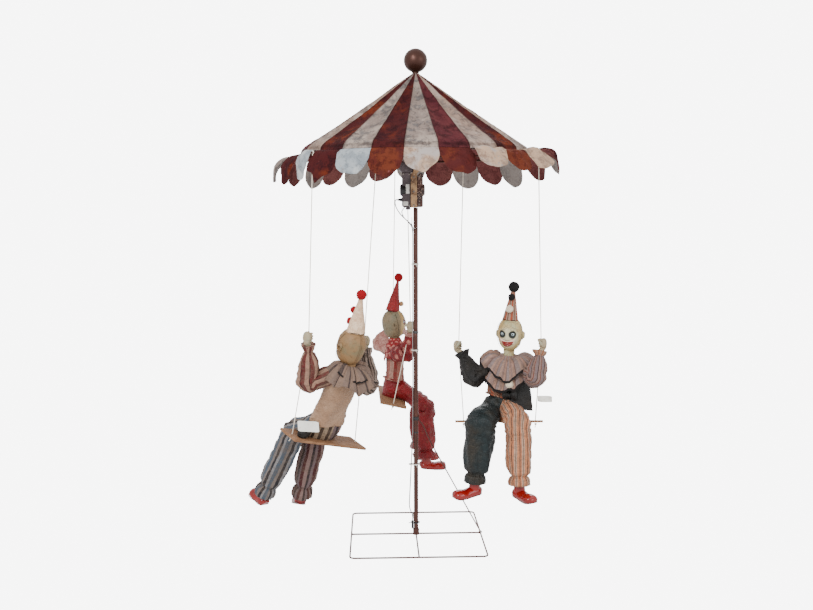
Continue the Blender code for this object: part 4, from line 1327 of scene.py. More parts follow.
@dataclass(frozen=True)
class Stand:
    """Base of bent rod, pole in sections, stay, and the lead clipped down the pole."""

    rod_radius: float = BASE_ROD
    tie_heights: tuple[float, ...] = (1.081, 0.744, 0.287)
    grey_cord_radius: float = 0.0012

    def build(self) -> None:
        """Builds and dresses the stand."""
        self.base()
        self.pole()
        self.stay()
        self.lead()

    def base(self) -> None:
        """The rounded square of rod with its cross and the pole's socket."""
        pattern = Pattern()
        half = BASE_SIDE / 2 - self.rod_radius
        path = []
        for quarter in range(4):
            turn = Matrix.Rotation(quarter * math.pi / 2, 3, "Z")
            middle = turn @ Vector((half - BASE_CORNER, half - BASE_CORNER, self.rod_radius))
            for step in range(9):
                angle = quarter * math.pi / 2 + step * math.pi / 16
                path.append(middle + polar(angle, BASE_CORNER, 0.0))
            onward = Matrix.Rotation((quarter + 1) * math.pi / 2, 3, "Z")
            after = onward @ Vector((half, -half + BASE_CORNER, self.rod_radius))
            path.extend(path[-1].lerp(after, share) for share in (0.02, 0.25, 0.5, 0.75, 0.98))
        rows = []
        for index, point in enumerate(path):
            along = (path[(index + 1) % len(path)] - path[index - 1]).normalized()
            rows.append(circle(point, along.cross(UP) * self.rod_radius, UP * self.rod_radius, 16))
        pattern.grid(rows, wrapped(16, 0.05), round_rows=True)
        ring = pattern.make("base_ring_rod", [STEEL], Body.STAND, "brown_steel")
        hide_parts("base_ring")
        cross = Pattern()
        reach = half - self.rod_radius * 0.4
        level = UP * self.rod_radius
        for way in (RIGHTWARDS, BACKWARDS):
            rod(cross, [level - way * reach, level + way * reach], self.rod_radius, 16)
            for end in (-1.0, 1.0):
                weld = level + way * end * (reach - 0.002)
                dome(cross, weld, self.rod_radius * 1.28, way * end, 16, 8, lift=self.bead)
        inside = (0.0240, POLE_RADIUS + 0.0003)
        socket = ((0.0002, 0.0122), (0.0008, 0.0125), (0.0225, 0.0125), (0.0240, 0.0118), inside)
        lathe(cross, socket)
        made = cross.make("base_cross_rods", [STEEL], Body.STAND, "brown_steel")
        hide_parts("base_cross")

    @staticmethod
    def bead(share: float, angle: float, point: Vector) -> float:
        """The uneven skin of a weld."""
        return 0.0004 * noise.noise(point * 600.0)

    def pole(self) -> None:
        """The pole, with a fine groove where two sections meet and a dark sleeve on one joint."""
        sections = {
            "pole_section_bottom": (0.0036, 0.4158),
            "pole_section_lower": (0.4161, 0.8145),
            "pole_section_upper": (0.8148, 1.2200),
            "pole_section_top": (1.2203, 1.2990),
        }
        groove = 0.0006
        for node, (low, high) in sections.items():
            pattern = Pattern()
            count = max(2, round((high - low) / 0.02))
            edges = [(low, -groove), (low + groove, 0.0)]
            edges += [(low + (high - low) * k / count, 0.0) for k in range(1, count)]
            edges += [(high - groove, 0.0), (high, -groove)]
            lathe(pattern, [(height, POLE_RADIUS + grow) for height, grow in edges])
            made = pattern.make(node + "_tube", [STEEL], Body.STAND, "brown_steel")
            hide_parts(node)
        collars = Pattern()
        sleeves = ((0.8145, 0.010, 0.0009), (0.4720, 0.014, 0.0012), (0.4158, 0.006, 0.0005))
        for height, length, proud in sleeves:
            low, high = height - length / 2, height + length / 2
            flush, out = POLE_RADIUS + 0.0001, POLE_RADIUS + proud
            lathe(collars, ((low, flush), (low + 0.0008, out), (high - 0.0008, out), (high, flush)))
        collars.make("pole_collars", [BLACK_PLASTIC], Body.STAND, "black_plastic")

    def stay(self) -> None:
        """The stay rod, hooked over the base rod and clamped to the pole."""
        route = [
            Vector((0.25775, 0.0, 0.0080)),
            Vector((0.2400, 0.0, 0.0405)),
            Vector((0.1500, 0.0, 0.2060)),
            Vector((0.0600, 0.0, 0.3720)),
            Vector((0.0300, 0.0, 0.4400)),
            Vector((0.0120, 0.0, 0.4660)),
            Vector((0.0118, 0.0, 0.4860)),
        ]
        pattern = Pattern()
        rod(pattern, route, 0.0025, 14)
        dome(pattern, route[-1], 0.0025, columns=14, rows=8)
        made = pattern.make("stay_bent_rod", [STEEL], Body.STAND, "brown_steel")
        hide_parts("stay_rod")
        foot = Pattern()
        hoop = []
        for step in range(13):
            angle = math.radians(-70 + step * 320 / 12)
            spin = Vector((math.cos(angle), 0.0, math.sin(angle))) * (self.rod_radius + 0.0022)
            hoop.append(Vector((BASE_SIDE / 2 - self.rod_radius, 0.0, self.rod_radius + 0.0018)) + spin)
        kept = [point for point in hoop if point.z > 0.0022]
        rod(foot, kept, 0.0020, 12)
        foot.make("stay_foot_hook", [STEEL], Body.STAND, "brown_steel")

    def lead(self) -> None:
        """The lead's finish, the thin grey cord beside it and the ties round the pole."""
        for node in ("lead", "lead_strain_relief", "lead_connector"):
            dress(node, BLACK_CABLE if node == "lead" else BLACK_PLASTIC)
        grey = Pattern()
        heights = (1.262, 1.224, 1.190, 1.080, 0.950, 0.830, 0.744, 0.680, 0.520, 0.430, 0.360, 0.300)
        route = []
        for index, height in enumerate(heights):
            away = 0.0118 + (0.0022 if height > 1.20 else 0.0) + max(0.0, 0.43 - height) * 0.055
            route.append(Vector((-away - 0.0008, -0.0040 - 0.0008 * (index % 2), height)))
        rod(grey, route, self.grey_cord_radius, 8)
        grey.make("grey_cord_beside_lead", [GREY_CABLE], Body.STAND, "black_cable")
        ties = Pattern()
        for height in self.tie_heights:
            self.tie(ties, height, 0.0 if height > 0.4 else 0.0075)
        ties.make("white_cable_ties", [WHITE_TIE], Body.STAND, "grey_plastic")
        stub = Pattern()
        spot = Vector((-0.0140, 0.0, 0.0560))
        self.loop(stub, spot.z - 0.006, 0.0172, 0.0118, -0.0030)
        axes = (Vector((0.0060, 0.0, 0.0012)), UP * 0.0014, BACKWARDS * 0.0007)
        slab(stub, spot + Vector((-0.0098, -0.0020, -0.0070)), axes, 0.0006)
        stub.make("connector_tie", [BLACK_PLASTIC], Body.STAND, "black_plastic")

    def tie(self, pattern: Pattern, height: float, slack: float) -> None:
        """Adds a strip round pole and lead, with its lock and a short cut end."""
        self.loop(pattern, height, 0.0136 + slack, 0.0100, -0.0026 - slack * 0.5)
        lock = Vector((0.0006, -0.0114, height))
        slab(pattern, lock, (RIGHTWARDS * 0.0030, UP * 0.0028, BACKWARDS * 0.0015), 0.0008)
        bend, end = Vector((0.0022, -0.0030, -0.0050)), Vector((0.0040, -0.0034, -0.0110))
        rod(pattern, [lock, lock + bend, lock + end], 0.0009, 8)

    @staticmethod
    def loop(pattern: Pattern, height: float, half_x: float, half_y: float, middle: float) -> None:
        """Adds a flat strip bent round the pole."""
        strip = ((0.0, -0.0022), (0.0011, -0.0020), (0.0011, 0.0020), (0.0, 0.0022))
        rows = []
        for out in circle(Vector(), RIGHTWARDS, BACKWARDS, 40):
            spot = Vector((middle + half_x * out.x, half_y * out.y, height))
            rows.append([spot + out * depth + UP * rise for depth, rise in strip])
        pattern.grid(rows, wrapped(4, 0.002), round_rows=True)


# The motor head


@dataclass(frozen=True)
class MotorHead:
    """The motor's casing under the hub, with its blank labels, knob, screws and wires."""

    def build(self) -> None:
        """Dresses the casing and adds its fittings."""
        kept = {
            "motor_drum": BLACK_PLASTIC,
            "motor_case_left": GREY_CASE,
            "motor_plate": TAN_PLATE,
            "motor_case_right": RUSTY_CASE,
            "motor_block": GREY_CASE,
        }
        for node, finish in kept.items():
            dress(node, finish)
        self.labels()
        self.fasteners()
        self.wires()

    def labels(self) -> None:
        """Blank stickers where the casing carries them."""
        pattern = Pattern()
        corner, thick = 0.0012, 0.00025
        front = (
            (Vector((-0.0322, -0.0304, 1.3700)), 0.0068, 0.0178),
            (Vector((-0.0394, -0.0304, 1.3145)), 0.0095, 0.0080),
        )
        for centre, half_width, half_height in front:
            axes = (RIGHTWARDS * half_width, UP * half_height, BACKWARDS * thick)
            slab(pattern, centre, axes, corner)
        axes = (BACKWARDS * 0.0090, UP * 0.0140, RIGHTWARDS * thick)
        slab(pattern, Vector((0.0273, 0.018, 1.350)), axes, corner)
        axes = (BACKWARDS * 0.0110, UP * 0.0080, RIGHTWARDS * 0.00022)
        slab(pattern, DRUM_MIDDLE + RIGHTWARDS * 0.0347, axes, corner)
        pattern.make("blank_motor_labels", [CARD], Body.STAND, "grey_plastic")

    def fasteners(self) -> None:
        """Screws, washers, the knob below and ribs on the drum."""
        screws = Pattern()
        spots = (
            (-0.0085, 0.0362, 1.3080),
            (-0.0085, 0.0362, 1.3600),
            (-0.0085, 0.0362, 1.4150),
            (0.0120, 0.0302, 1.4180),
            (0.0120, 0.0302, 1.3110),
            (-0.0480, 0.0302, 1.4260),
            (-0.0250, 0.0302, 1.4260),
            (-0.0250, 0.0302, 1.3080),
        )
        for x, depth, z in spots:
            for facing in (-1.0, 1.0):
                self.screw(screws, Vector((x, facing * depth, z)), BACKWARDS * facing)
        screws.make("case_screws", [ZINC], Body.STAND, "tan_plate")
        knob = Pattern()
        turned = ((0.0, 0.0075), (-0.0015, 0.0085), (-0.0070, 0.0088), (-0.0085, 0.0078), (-0.0095, 0.0050))
        base = Vector((-0.0300, -0.0150, 1.3003))
        rows = []
        for drop, radius in turned:
            grip = 0.0 if drop in (0.0, -0.0095) else 0.0004
            angles = [2 * math.pi * k / 48 for k in range(48)]
            centre = base + UP * drop
            rows.append([centre + polar(turn, radius + grip * math.cos(16 * turn), 0.0) for turn in angles])
        knob.grid(rows, wrapped(48, 0.002))
        knob.make("speed_knob", [GREY_CASE], Body.STAND, "grey_plastic")
        drum = Pattern()
        for spoke in circle(Vector(), BACKWARDS, UP, 12):
            axes = (spoke * 0.0035, spoke.cross(RIGHTWARDS) * 0.0009, RIGHTWARDS * 0.0006)
            slab(drum, DRUM_MIDDLE + Vector((-0.0606, 0.0, 0.0)) + spoke * 0.0095, axes, 0.0006)
        for x in (-0.0555, -0.0490, -0.0430):
            ring = [
                circle(DRUM_MIDDLE + RIGHTWARDS * x + spoke * 0.0228, spoke * 0.0009, RIGHTWARDS * 0.0009, 4)
                for spoke in circle(Vector(), BACKWARDS, UP, 40)
            ]
            drum.grid(ring, wrapped(4, 0.003), round_rows=True)
        drum.make("drum_ribs", [BLACK_PLASTIC], Body.STAND, "black_plastic")

    @staticmethod
    def screw(pattern: Pattern, place: Vector, out: Vector) -> None:
        """Adds a pan-head screw on its washer."""
        side = out.orthogonal().normalized()
        third = out.cross(side)
        sections = ((-0.0004, 0.0036), (0.0004, 0.0036), (0.0005, 0.0026), (0.0013, 0.0024), (0.0018, 0.0016))
        rows = [
            circle(place + out * rise, side * radius, third * radius, 16) for rise, radius in sections
        ]
        pattern.grid(rows, wrapped(16, 0.001))

    def wires(self) -> None:
        """The collar and plug on the left and the thin twin wires that loop to the pole."""
        plug = Pattern()
        sections = ((-0.0530, 0.0068), (-0.0562, 0.0070), (-0.0572, 0.0062), (-0.0600, 0.0060))
        stations = [Station(Vector((x, -0.0060, 1.3290)), radius, radius) for x, radius in sections]
        tube(plug, stations, 3, 24, BACKWARDS)
        plug.make("lead_collar", [BLACK_PLASTIC], Body.STAND, "black_plastic")
        twin = Pattern()
        route = [
            Vector((-0.0400, -0.0200, 1.3020)),
            Vector((-0.0480, -0.0230, 1.2940)),
            Vector((-0.0540, -0.0210, 1.2820)),
            Vector((-0.0450, -0.0180, 1.2600)),
            Vector((-0.0270, -0.0130, 1.2440)),
            Vector((-0.0140, -0.0068, 1.2300)),
            Vector((-0.0104, -0.0052, 1.2100)),
        ]
        for start in (0.0, math.pi):
            strand = []
            for step in range(61):
                turn = start + 2 * math.pi * step / 10
                twist = Vector((math.cos(turn), math.sin(turn), 0.3 * math.sin(turn))) * 0.0013
                strand.append(catmull(route, step / 10) + twist)
            rod(twin, strand, 0.0010, 8)
        twin.make("twin_wires", [BLACK_CABLE], Body.STAND, "black_cable")


# The canopy


@dataclass(frozen=True)
class TabLook:
    """How one tab of the valance hangs: all angles in degrees, lengths in metres."""

    lift: float = 0.0
    end_lift: float = 0.0
    crumple: float = 0.0024
    longer: float = 0.0
    level: float = TAB_LEVEL_RUN
    lobe: float = 1.8
    lean: float = 0.0
    skew: float = 0.0
    jagged: float = 0.0
    cloth: Finish | None = None


TAB_LOOKS = {
    0: TabLook(-8.0, 36.0, 0.0030, 0.040, 0.120),
    1: TabLook(0.0, 24.0, 0.0020, 0.020, 0.100),
    2: TabLook(0.0, 10.0, 0.0010, 0.010),
    4: TabLook(0.0, 0.0, 0.0005, 0.012),
    8: TabLook(0.0, 0.0, 0.0005, 0.008),
    10: TabLook(0.0, 20.0, 0.0010, 0.010),
    11: TabLook(2.0, 40.0, 0.0020, 0.025, 0.085),
    12: TabLook(8.0, 44.0, 0.0030, 0.046, 0.125),
    13: TabLook(6.0, 42.0, 0.0040, 0.030, 0.100, 1.6),
    14: TabLook(0.0, 44.0, 0.0060, 0.010, 0.072, 1.6, cloth=ICE_CLOTH),
    15: TabLook(0.0, 12.0, 0.0034, 0.026, lobe=4.0, lean=-0.010, jagged=0.24),
    16: TabLook(-12.0, 6.0, 0.0090, -0.016, lobe=3.0, cloth=ICE_CLOTH),
    17: TabLook(0.0, 0.0, 0.0080, -0.002, TAB_LEVEL_RUN, 2.2, -0.008, 0.08, 0.06, ORANGE_CLOTH),
    18: TabLook(0.0, 0.0, 0.0050, -0.014, TAB_LEVEL_RUN, 1.5, 0.0, -0.10, 0.10, PEACH_CLOTH),
    19: TabLook(0.0, 0.0, 0.0050, -0.015, TAB_LEVEL_RUN, 3.2, 0.020, 0.0, 0.06, ORANGE_CLOTH),
    20: TabLook(-64.0, -8.0, 0.0110, -0.010, lobe=3.0, cloth=PEACH_CLOTH),
    21: TabLook(-40.0, -10.0, 0.0080, -0.006, lobe=2.6, cloth=ORANGE_CLOTH),
    22: TabLook(-46.0, -6.0, 0.0090, 0.008, lobe=3.0, cloth=PEACH_CLOTH),
    23: TabLook(-12.0, 44.0, 0.0040, 0.030, 0.115),
}


@dataclass(frozen=True)
class Canopy:
    """The striped roof, its scalloped valance, the hoop under it and the ball on top."""

    columns: int = 10
    tab_columns: int = 14
    tab_rows: int = 12
    tab_looks: dict[int, TabLook] = field(default_factory=dict)

    def build(self) -> None:
        """Builds and dresses all that turns above the dolls."""
        for node in ("hub_and_arms", "mast"):
            dress(node, STEEL)
        self.hoop()
        self.finial()
        self.roof()
        self.valance()
        self.arm_fittings()

    def hoop(self) -> None:
        """The hoop that the cloth lies on."""
        pattern = Pattern()
        rows = []
        for step in range(144):
            angle = 2 * math.pi * step / 144
            centre = polar(angle, HOOP_RADIUS, HOOP_HEIGHT)
            rows.append(circle(centre, polar(angle, HOOP_ROD, 0.0), UP * HOOP_ROD, 12))
        pattern.grid(rows, wrapped(12, 0.019), round_rows=True)
        made = pattern.make("canopy_hoop_rod", [STEEL], Body.ROTOR, "brown_steel")
        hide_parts("canopy_hoop")

    def finial(self) -> None:
        """The slightly dented ball and the collar below it."""
        pattern = Pattern()
        centre = UP * FINIAL_HEIGHT

        def skin(share: float, angle: float, point: Vector) -> float:
            """Slight dents in the ball."""
            return 0.00025 * noise.noise(point * 60.0)

        dome(pattern, centre, FINIAL_RADIUS, columns=72, rows=40, lift=skin)
        lathe(pattern, ((1.8075, 0.0128), (1.8080, 0.0136), (1.8118, 0.0132), (1.8140, 0.0105)))
        made = pattern.make("finial_turned_ball", [BALL_BRONZE], Body.ROTOR, "bronze_ball")
        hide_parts("finial_ball")

    @staticmethod
    def profile(share: float) -> tuple[float, float, float]:
        """The roof's line from the apex to the hoop.

        Args:
            share: 0 at the apex, 1 at the hoop.

        Returns:
            The radius, the height, and the slope's angle in radians.
        """
        top_radius, top_height = 0.0082, APEX_HEIGHT - 0.001
        (radius, height), (mid_radius, mid_height) = SHOULDER, (0.4330, 1.5180)
        turn = 0.92
        if share <= turn:
            part = share / turn
            slope = math.atan2(height - top_height, radius - top_radius)
            sag = 0.004 * math.sin(math.pi * part)
            across = top_radius + (radius - top_radius) * part
            return across, top_height + (height - top_height) * part - sag, slope
        part = (share - turn) / (1 - turn)
        first, second, third = (1 - part) ** 2, 2 * part * (1 - part), part**2
        across = first * radius + second * mid_radius + third * RIM_RADIUS
        level = first * height + second * mid_height + third * RIM_HEIGHT
        return across, level, math.atan2(RIM_HEIGHT - height, RIM_RADIUS - radius)

    @staticmethod
    def panel_angle(column: float, columns: int) -> float:
        """The angle of a column, the first panel's middle being at 0."""
        return math.radians((column / columns - 0.5) * 360.0 / PANELS)

    def roof(self) -> None:
        """One sheet of 24 sewn panels, dipping between its seams."""
        steps = 44
        total = self.columns * PANELS
        outer, slopes = [], []
        for column in range(total):
            angle = self.panel_angle(column, self.columns)
            across = (column % self.columns) / self.columns
            line, turns = [], []
            for step in range(steps + 1):
                share = step / steps
                radius, height, slope = self.profile(share)
                sag = math.sin(math.pi * min(1.0, share) ** 0.8) ** 0.7
                dip = 0.0120 * math.sin(math.pi * across) * sag
                seam = 0.0010 if across == 0.0 else 0.0
                stretched = polar(angle * 3, radius, height * 0.5)
                rough = crumple(polar(angle, radius, height), 0.0014, 0.0012)
                rough += 0.0022 * noise.noise(stretched * 16.0)
                lift = seam - dip * min(1.0, radius / 0.15) + rough * min(1.0, radius / 0.08)
                lift *= share < 1.0
                line.append((radius - lift * math.sin(slope), height + lift * math.cos(slope)))
                turns.append(slope)
            outer.append(line)
            slopes.append(turns)
        rows = []
        for column in range(total):
            angle = self.panel_angle(column, self.columns)
            top = [polar(angle, *point) for point in outer[column]]
            under = [
                polar(angle, radius + CLOTH * math.sin(slope), height - CLOTH * math.cos(slope))
                for (radius, height), slope in zip(outer[column], slopes[column])
            ]
            rows.append([*top, *reversed(under)])
        count = 2 * (steps + 1)

        def place(row: int, column: int) -> Place:
            """Across the panels, and down from the apex."""
            step = column if column <= steps else count - 1 - column
            return row / self.columns, max(step, 0) * 0.0113

        def finish(row: int, column: int) -> int:
            """Red and pale panels in turn, and their linings."""
            panel = row // self.columns
            if column <= steps and panel in (13, 19, 23, 5):
                return 4
            if column <= steps and panel in (14, 20, 22, 6):
                return 5
            return panel % 2 + (0 if column <= steps else 2)

        pattern = Pattern()
        pattern.grid(rows, place, finish, round_rows=True)
        cloth = pattern.make(
            "canopy_roof_cloth",
            [PALE_CLOTH, RUST_CLOTH, PALE_LINING, RUST_LINING, PLUM_CLOTH, SALLOW_CLOTH],
            Body.ROTOR,
            "striped_canopy",
        )
        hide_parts("canopy_cloth")

    @staticmethod
    def droops(angle: float) -> tuple[float, float]:
        """How far below level a tab hangs near the hoop and at its end, in radians."""
        sides = abs(math.cos(angle)) ** 10
        over_arm = 0.0
        for index in range(3):
            away = (angle - swing_angle(index) + math.pi) % (2 * math.pi) - math.pi
            over_arm = max(over_arm, math.exp(-((math.degrees(away) / 14.0) ** 2)))
        near = 48.0 - 54.0 * max(over_arm, 0.80 * sides)
        far = 68.0 - 24.0 * sides - 14.0 * over_arm
        return math.radians(near), math.radians(far)

    def tab_rows_of(self, index: int) -> tuple[list[list[Vector]], list[float]]:
        """The points of one tab.

        Args:
            index: the panel above it, counted from the one at angle 0.

        Returns:
            Rows from the hoop down, and how far down each one is.
        """
        look = self.tab_looks.get(index, TabLook())
        middle = 2 * math.pi * index / PANELS
        runs = [TAB_LENGTH * (step / self.tab_rows) for step in range(self.tab_rows + 1)]
        rows: list[list[Vector]] = [[] for _ in runs]
        for column in range(self.tab_columns + 1):
            across = 2 * column / self.tab_columns - 1
            angle = middle + across * math.pi / PANELS
            lobe = max(0.0, 1 - abs(across) ** look.lobe) ** 0.6
            torn = look.jagged * min(1.0, abs(across - 0.15) * 3.0)
            length = (TAB_LENGTH + look.longer) * (TAB_ROOT_SHARE + (1 - TAB_ROOT_SHARE) * lobe)
            length *= 1 + look.skew * across - torn
            near, far = self.droops(angle)
            near += math.radians(look.lift)
            far += math.radians(look.end_lift)
            spot = polar(angle, RIM_RADIUS - 0.0008, RIM_HEIGHT - 0.0009)
            sideways = polar(angle + math.pi / 2, 1.0, 0.0)
            before = 0.0
            for step, row in enumerate(rows):
                run = length * step / self.tab_rows
                bend = min(1.0, run / look.level) ** (0.4 + look.level * 24.0)
                slope = near + (far - near) * bend
                spot = spot + polar(angle, math.cos(slope), -math.sin(slope)) * (run - before)
                before = run
                down = run / TAB_LENGTH
                cup = 0.010 * (1 - across**2) * min(1.0, down * 1.6) - 0.004 * down
                outwards = polar(angle, math.sin(slope), math.cos(slope))
                rough = crumple(spot, 0.0030 + look.crumple * 0.6, look.crumple * 0.35, index * 0.37)
                fold = 0.5 - abs(noise.noise(spot * 30.0 + RIGHTWARDS * index))
                rough = (rough + look.crumple * 1.4 * fold) * min(1.0, down * 3.0)
                ripple = 0.0022 * math.sin(across * 7.0 + index * 2.1) * down
                aside = (look.lean + 0.0035 * across) * down
                row.append(spot + outwards * (cup + rough + ripple) + sideways * aside)
        return rows, runs

    def valance(self) -> None:
        """The 24 scalloped tabs, each sewn to the roof's edge."""
        pattern = Pattern()
        linings = [PALE_LINING, RUST_LINING]
        finishes = [PALE_CLOTH, RUST_CLOTH, *linings, ICE_CLOTH, PEACH_CLOTH, ORANGE_CLOTH]
        for index in range(PANELS):
            rows, runs = self.tab_rows_of(index)
            look = self.tab_looks.get(index, TabLook())
            face = finishes.index(look.cloth or finishes[index % 2])
            pattern.leaf(
                [list(reversed(row)) for row in rows],
                CLOTH,
                lambda row, column, runs=runs, index=index: (
                    index + 0.04 + 0.92 * column / self.tab_columns,
                    runs[min(row, len(runs) - 1)],
                ),
                face,
                2 + index % 2,
            )
        cloth = pattern.make("canopy_valance_tabs", finishes, Body.ROTOR, "striped_valance")
        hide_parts("canopy_valance")

    def arm_fittings(self) -> None:
        """Washers on the arms, to both sides of each rope."""
        pattern = Pattern()
        section = ((-0.0008, 0.0034), (-0.0008, 0.0048), (0.0008, 0.0048), (0.0008, 0.0034))
        for index in range(3):
            angle = swing_angle(index)
            out = polar(angle, 1.0, 0.0)
            side = Vector((-out.y, out.x, 0.0))
            for reach in (INNER_ROPE_OUT, OUTER_ROPE_OUT):
                for shift in (-0.0035, 0.0035):
                    centre = polar(angle, reach + shift, ARM_HEIGHT)
                    rows = [
                        circle(centre + out * depth, side * radius, UP * radius, 20)
                        for depth, radius in section
                    ]
                    pattern.grid(rows, wrapped(20, 0.001), round_rows=True)
        pattern.make("rope_stop_washers", [ZINC], Body.ROTOR, "brown_steel")


# The dolls


@dataclass(frozen=True)
class Flounce:
    """One gathered tier of a collar, in metres.

    Its edge is at reach from the neck's axis and falls by three amounts: at the sides, in front
    and behind. lift raises it at the neck, puff half-way; it has so many waves of height wave.
    """

    reach: float
    falls: tuple[float, float, float]
    lift: float
    puff: float
    waves: int
    wave: float
    crumple: float
    seed: float
    trimmed: bool = False


@dataclass(frozen=True)
class Costume:
    """The finishes of one doll's clothes, right before left, its pompons and its collar's tiers.

    hip_finishes names the cloth of the hips' two halves: 0 and 1 the legs' own, 2 that of hips.
    A front pompon is its share of the hat's height, its radius and its yarn.
    """

    torso: Finish
    sleeves: tuple[Finish, Finish]
    legs: tuple[Finish, Finish]
    hips: Finish
    hat: Finish
    ruff: Finish
    skin: Finish
    tip_yarn: Finish
    front_pompons: tuple[tuple[float, float, Finish], ...]
    cuffs: tuple[Finish, Finish]
    vest: Finish
    tiers: tuple[Flounce, ...]
    hip_finishes: tuple[int, int] = (2, 2)


@dataclass(frozen=True)
class Doll:
    """A stuffed clown on a rope swing.

    Points are (out from the pole, ahead of the doll, height above the floor), before shift, and
    pairs are right before left. seat_turn is the seat's yaw, roll and pitch in degrees. Widths
    are half widths. A fullness multiplies a limb's width, girth the torso's; hem is how far
    below the waist the jacket ends, and hat_point is the hat's radius at its tip.
    """

    name: str
    body: Body
    index: int
    seat: Tint
    seat_turn: Tint
    shift: Tint
    pelvis: Tint
    waist: Tint
    chest: Tint
    neck: Tint
    head: Tint
    hat_base: Tint
    hat_tip: Tint
    hands: tuple[Tint, Tint]
    elbows: tuple[Tint, Tint]
    shoulders: tuple[Tint, Tint]
    hips: tuple[Tint, Tint]
    knees: tuple[Tint, Tint]
    ankles: tuple[Tint, Tint]
    toes: tuple[Tint, Tint]
    ruff_reach: float
    leg_fullness: tuple[float, float]
    waist_width: float
    head_size: float
    hat_radius: float
    pompon_radius: float
    hip_width: float
    sleeve_fullness: tuple[float, float]
    hat_point: float
    girth: float
    hem: float
    costume: Costume

    @property
    def angle(self) -> float:
        """Where the swing is round the pole."""
        return swing_angle(self.index)

    @property
    def out(self) -> Vector:
        """The direction away from the pole."""
        return polar(self.angle, 1.0, 0.0)

    @property
    def ahead(self) -> Vector:
        """The direction that the doll faces."""
        return Vector((math.sin(self.angle), -math.cos(self.angle), 0.0))

    def at(self, point: Sequence[float]) -> Vector:
        """One of the doll's own points, shift included, in the frame."""
        return self.unshifted(*(Vector(point) + Vector(self.shift)))

    def unshifted(self, out: float, ahead: float, height: float) -> Vector:
        """A point of the swing itself, in the frame."""
        return self.out * out + self.ahead * ahead + UP * height

    def hat_width(self, share: float) -> float:
        """The hat's radius at this share of its height."""
        return self.hat_radius + (self.hat_point - self.hat_radius) * share

    def named(self, part: str) -> str:
        """The name of one of the doll's pieces or nodes."""
        return f"{self.name}_{part}"

    def seat_frame(self) -> Matrix:
        """The seat's own frame: X towards the pole, Y ahead, Z up, all tipped as it hangs."""
        yaw, roll, pitch = (math.radians(turn) for turn in self.seat_turn)
        level = Matrix((-self.out, self.ahead, UP)).transposed().to_4x4()
        turned = Matrix.Rotation(yaw, 4, "Z") @ Matrix.Rotation(roll, 4, "Y")
        tipped = turned @ Matrix.Rotation(pitch, 4, "X")
        return Matrix.Translation(self.at(self.seat)) @ level @ tipped

    def rope_points(self, side: Side) -> list[Vector]:
        """From under the arm, through the hand, to the knot under the seat."""
        reach = INNER_ROPE_OUT if side is Side.RIGHT else OUTER_ROPE_OUT
        along = (INNER_ROPE_OUT + OUTER_ROPE_OUT) / 2 - reach
        board = self.seat_frame()
        half = SEAT_THICKNESS / 2
        top = self.unshifted(reach, 0.0, ARM_HEIGHT - ARM_RADIUS - 0.0018)
        hand = self.at(self.hands[side.value])
        above = board @ Vector((along, 0.0, half + 0.004))
        below = board @ Vector((along, 0.0, -half - 0.001))
        before = hand + (top - hand).normalized() * 0.022
        after = hand + (above - hand).normalized() * 0.022
        return [top, before, after, above, below]


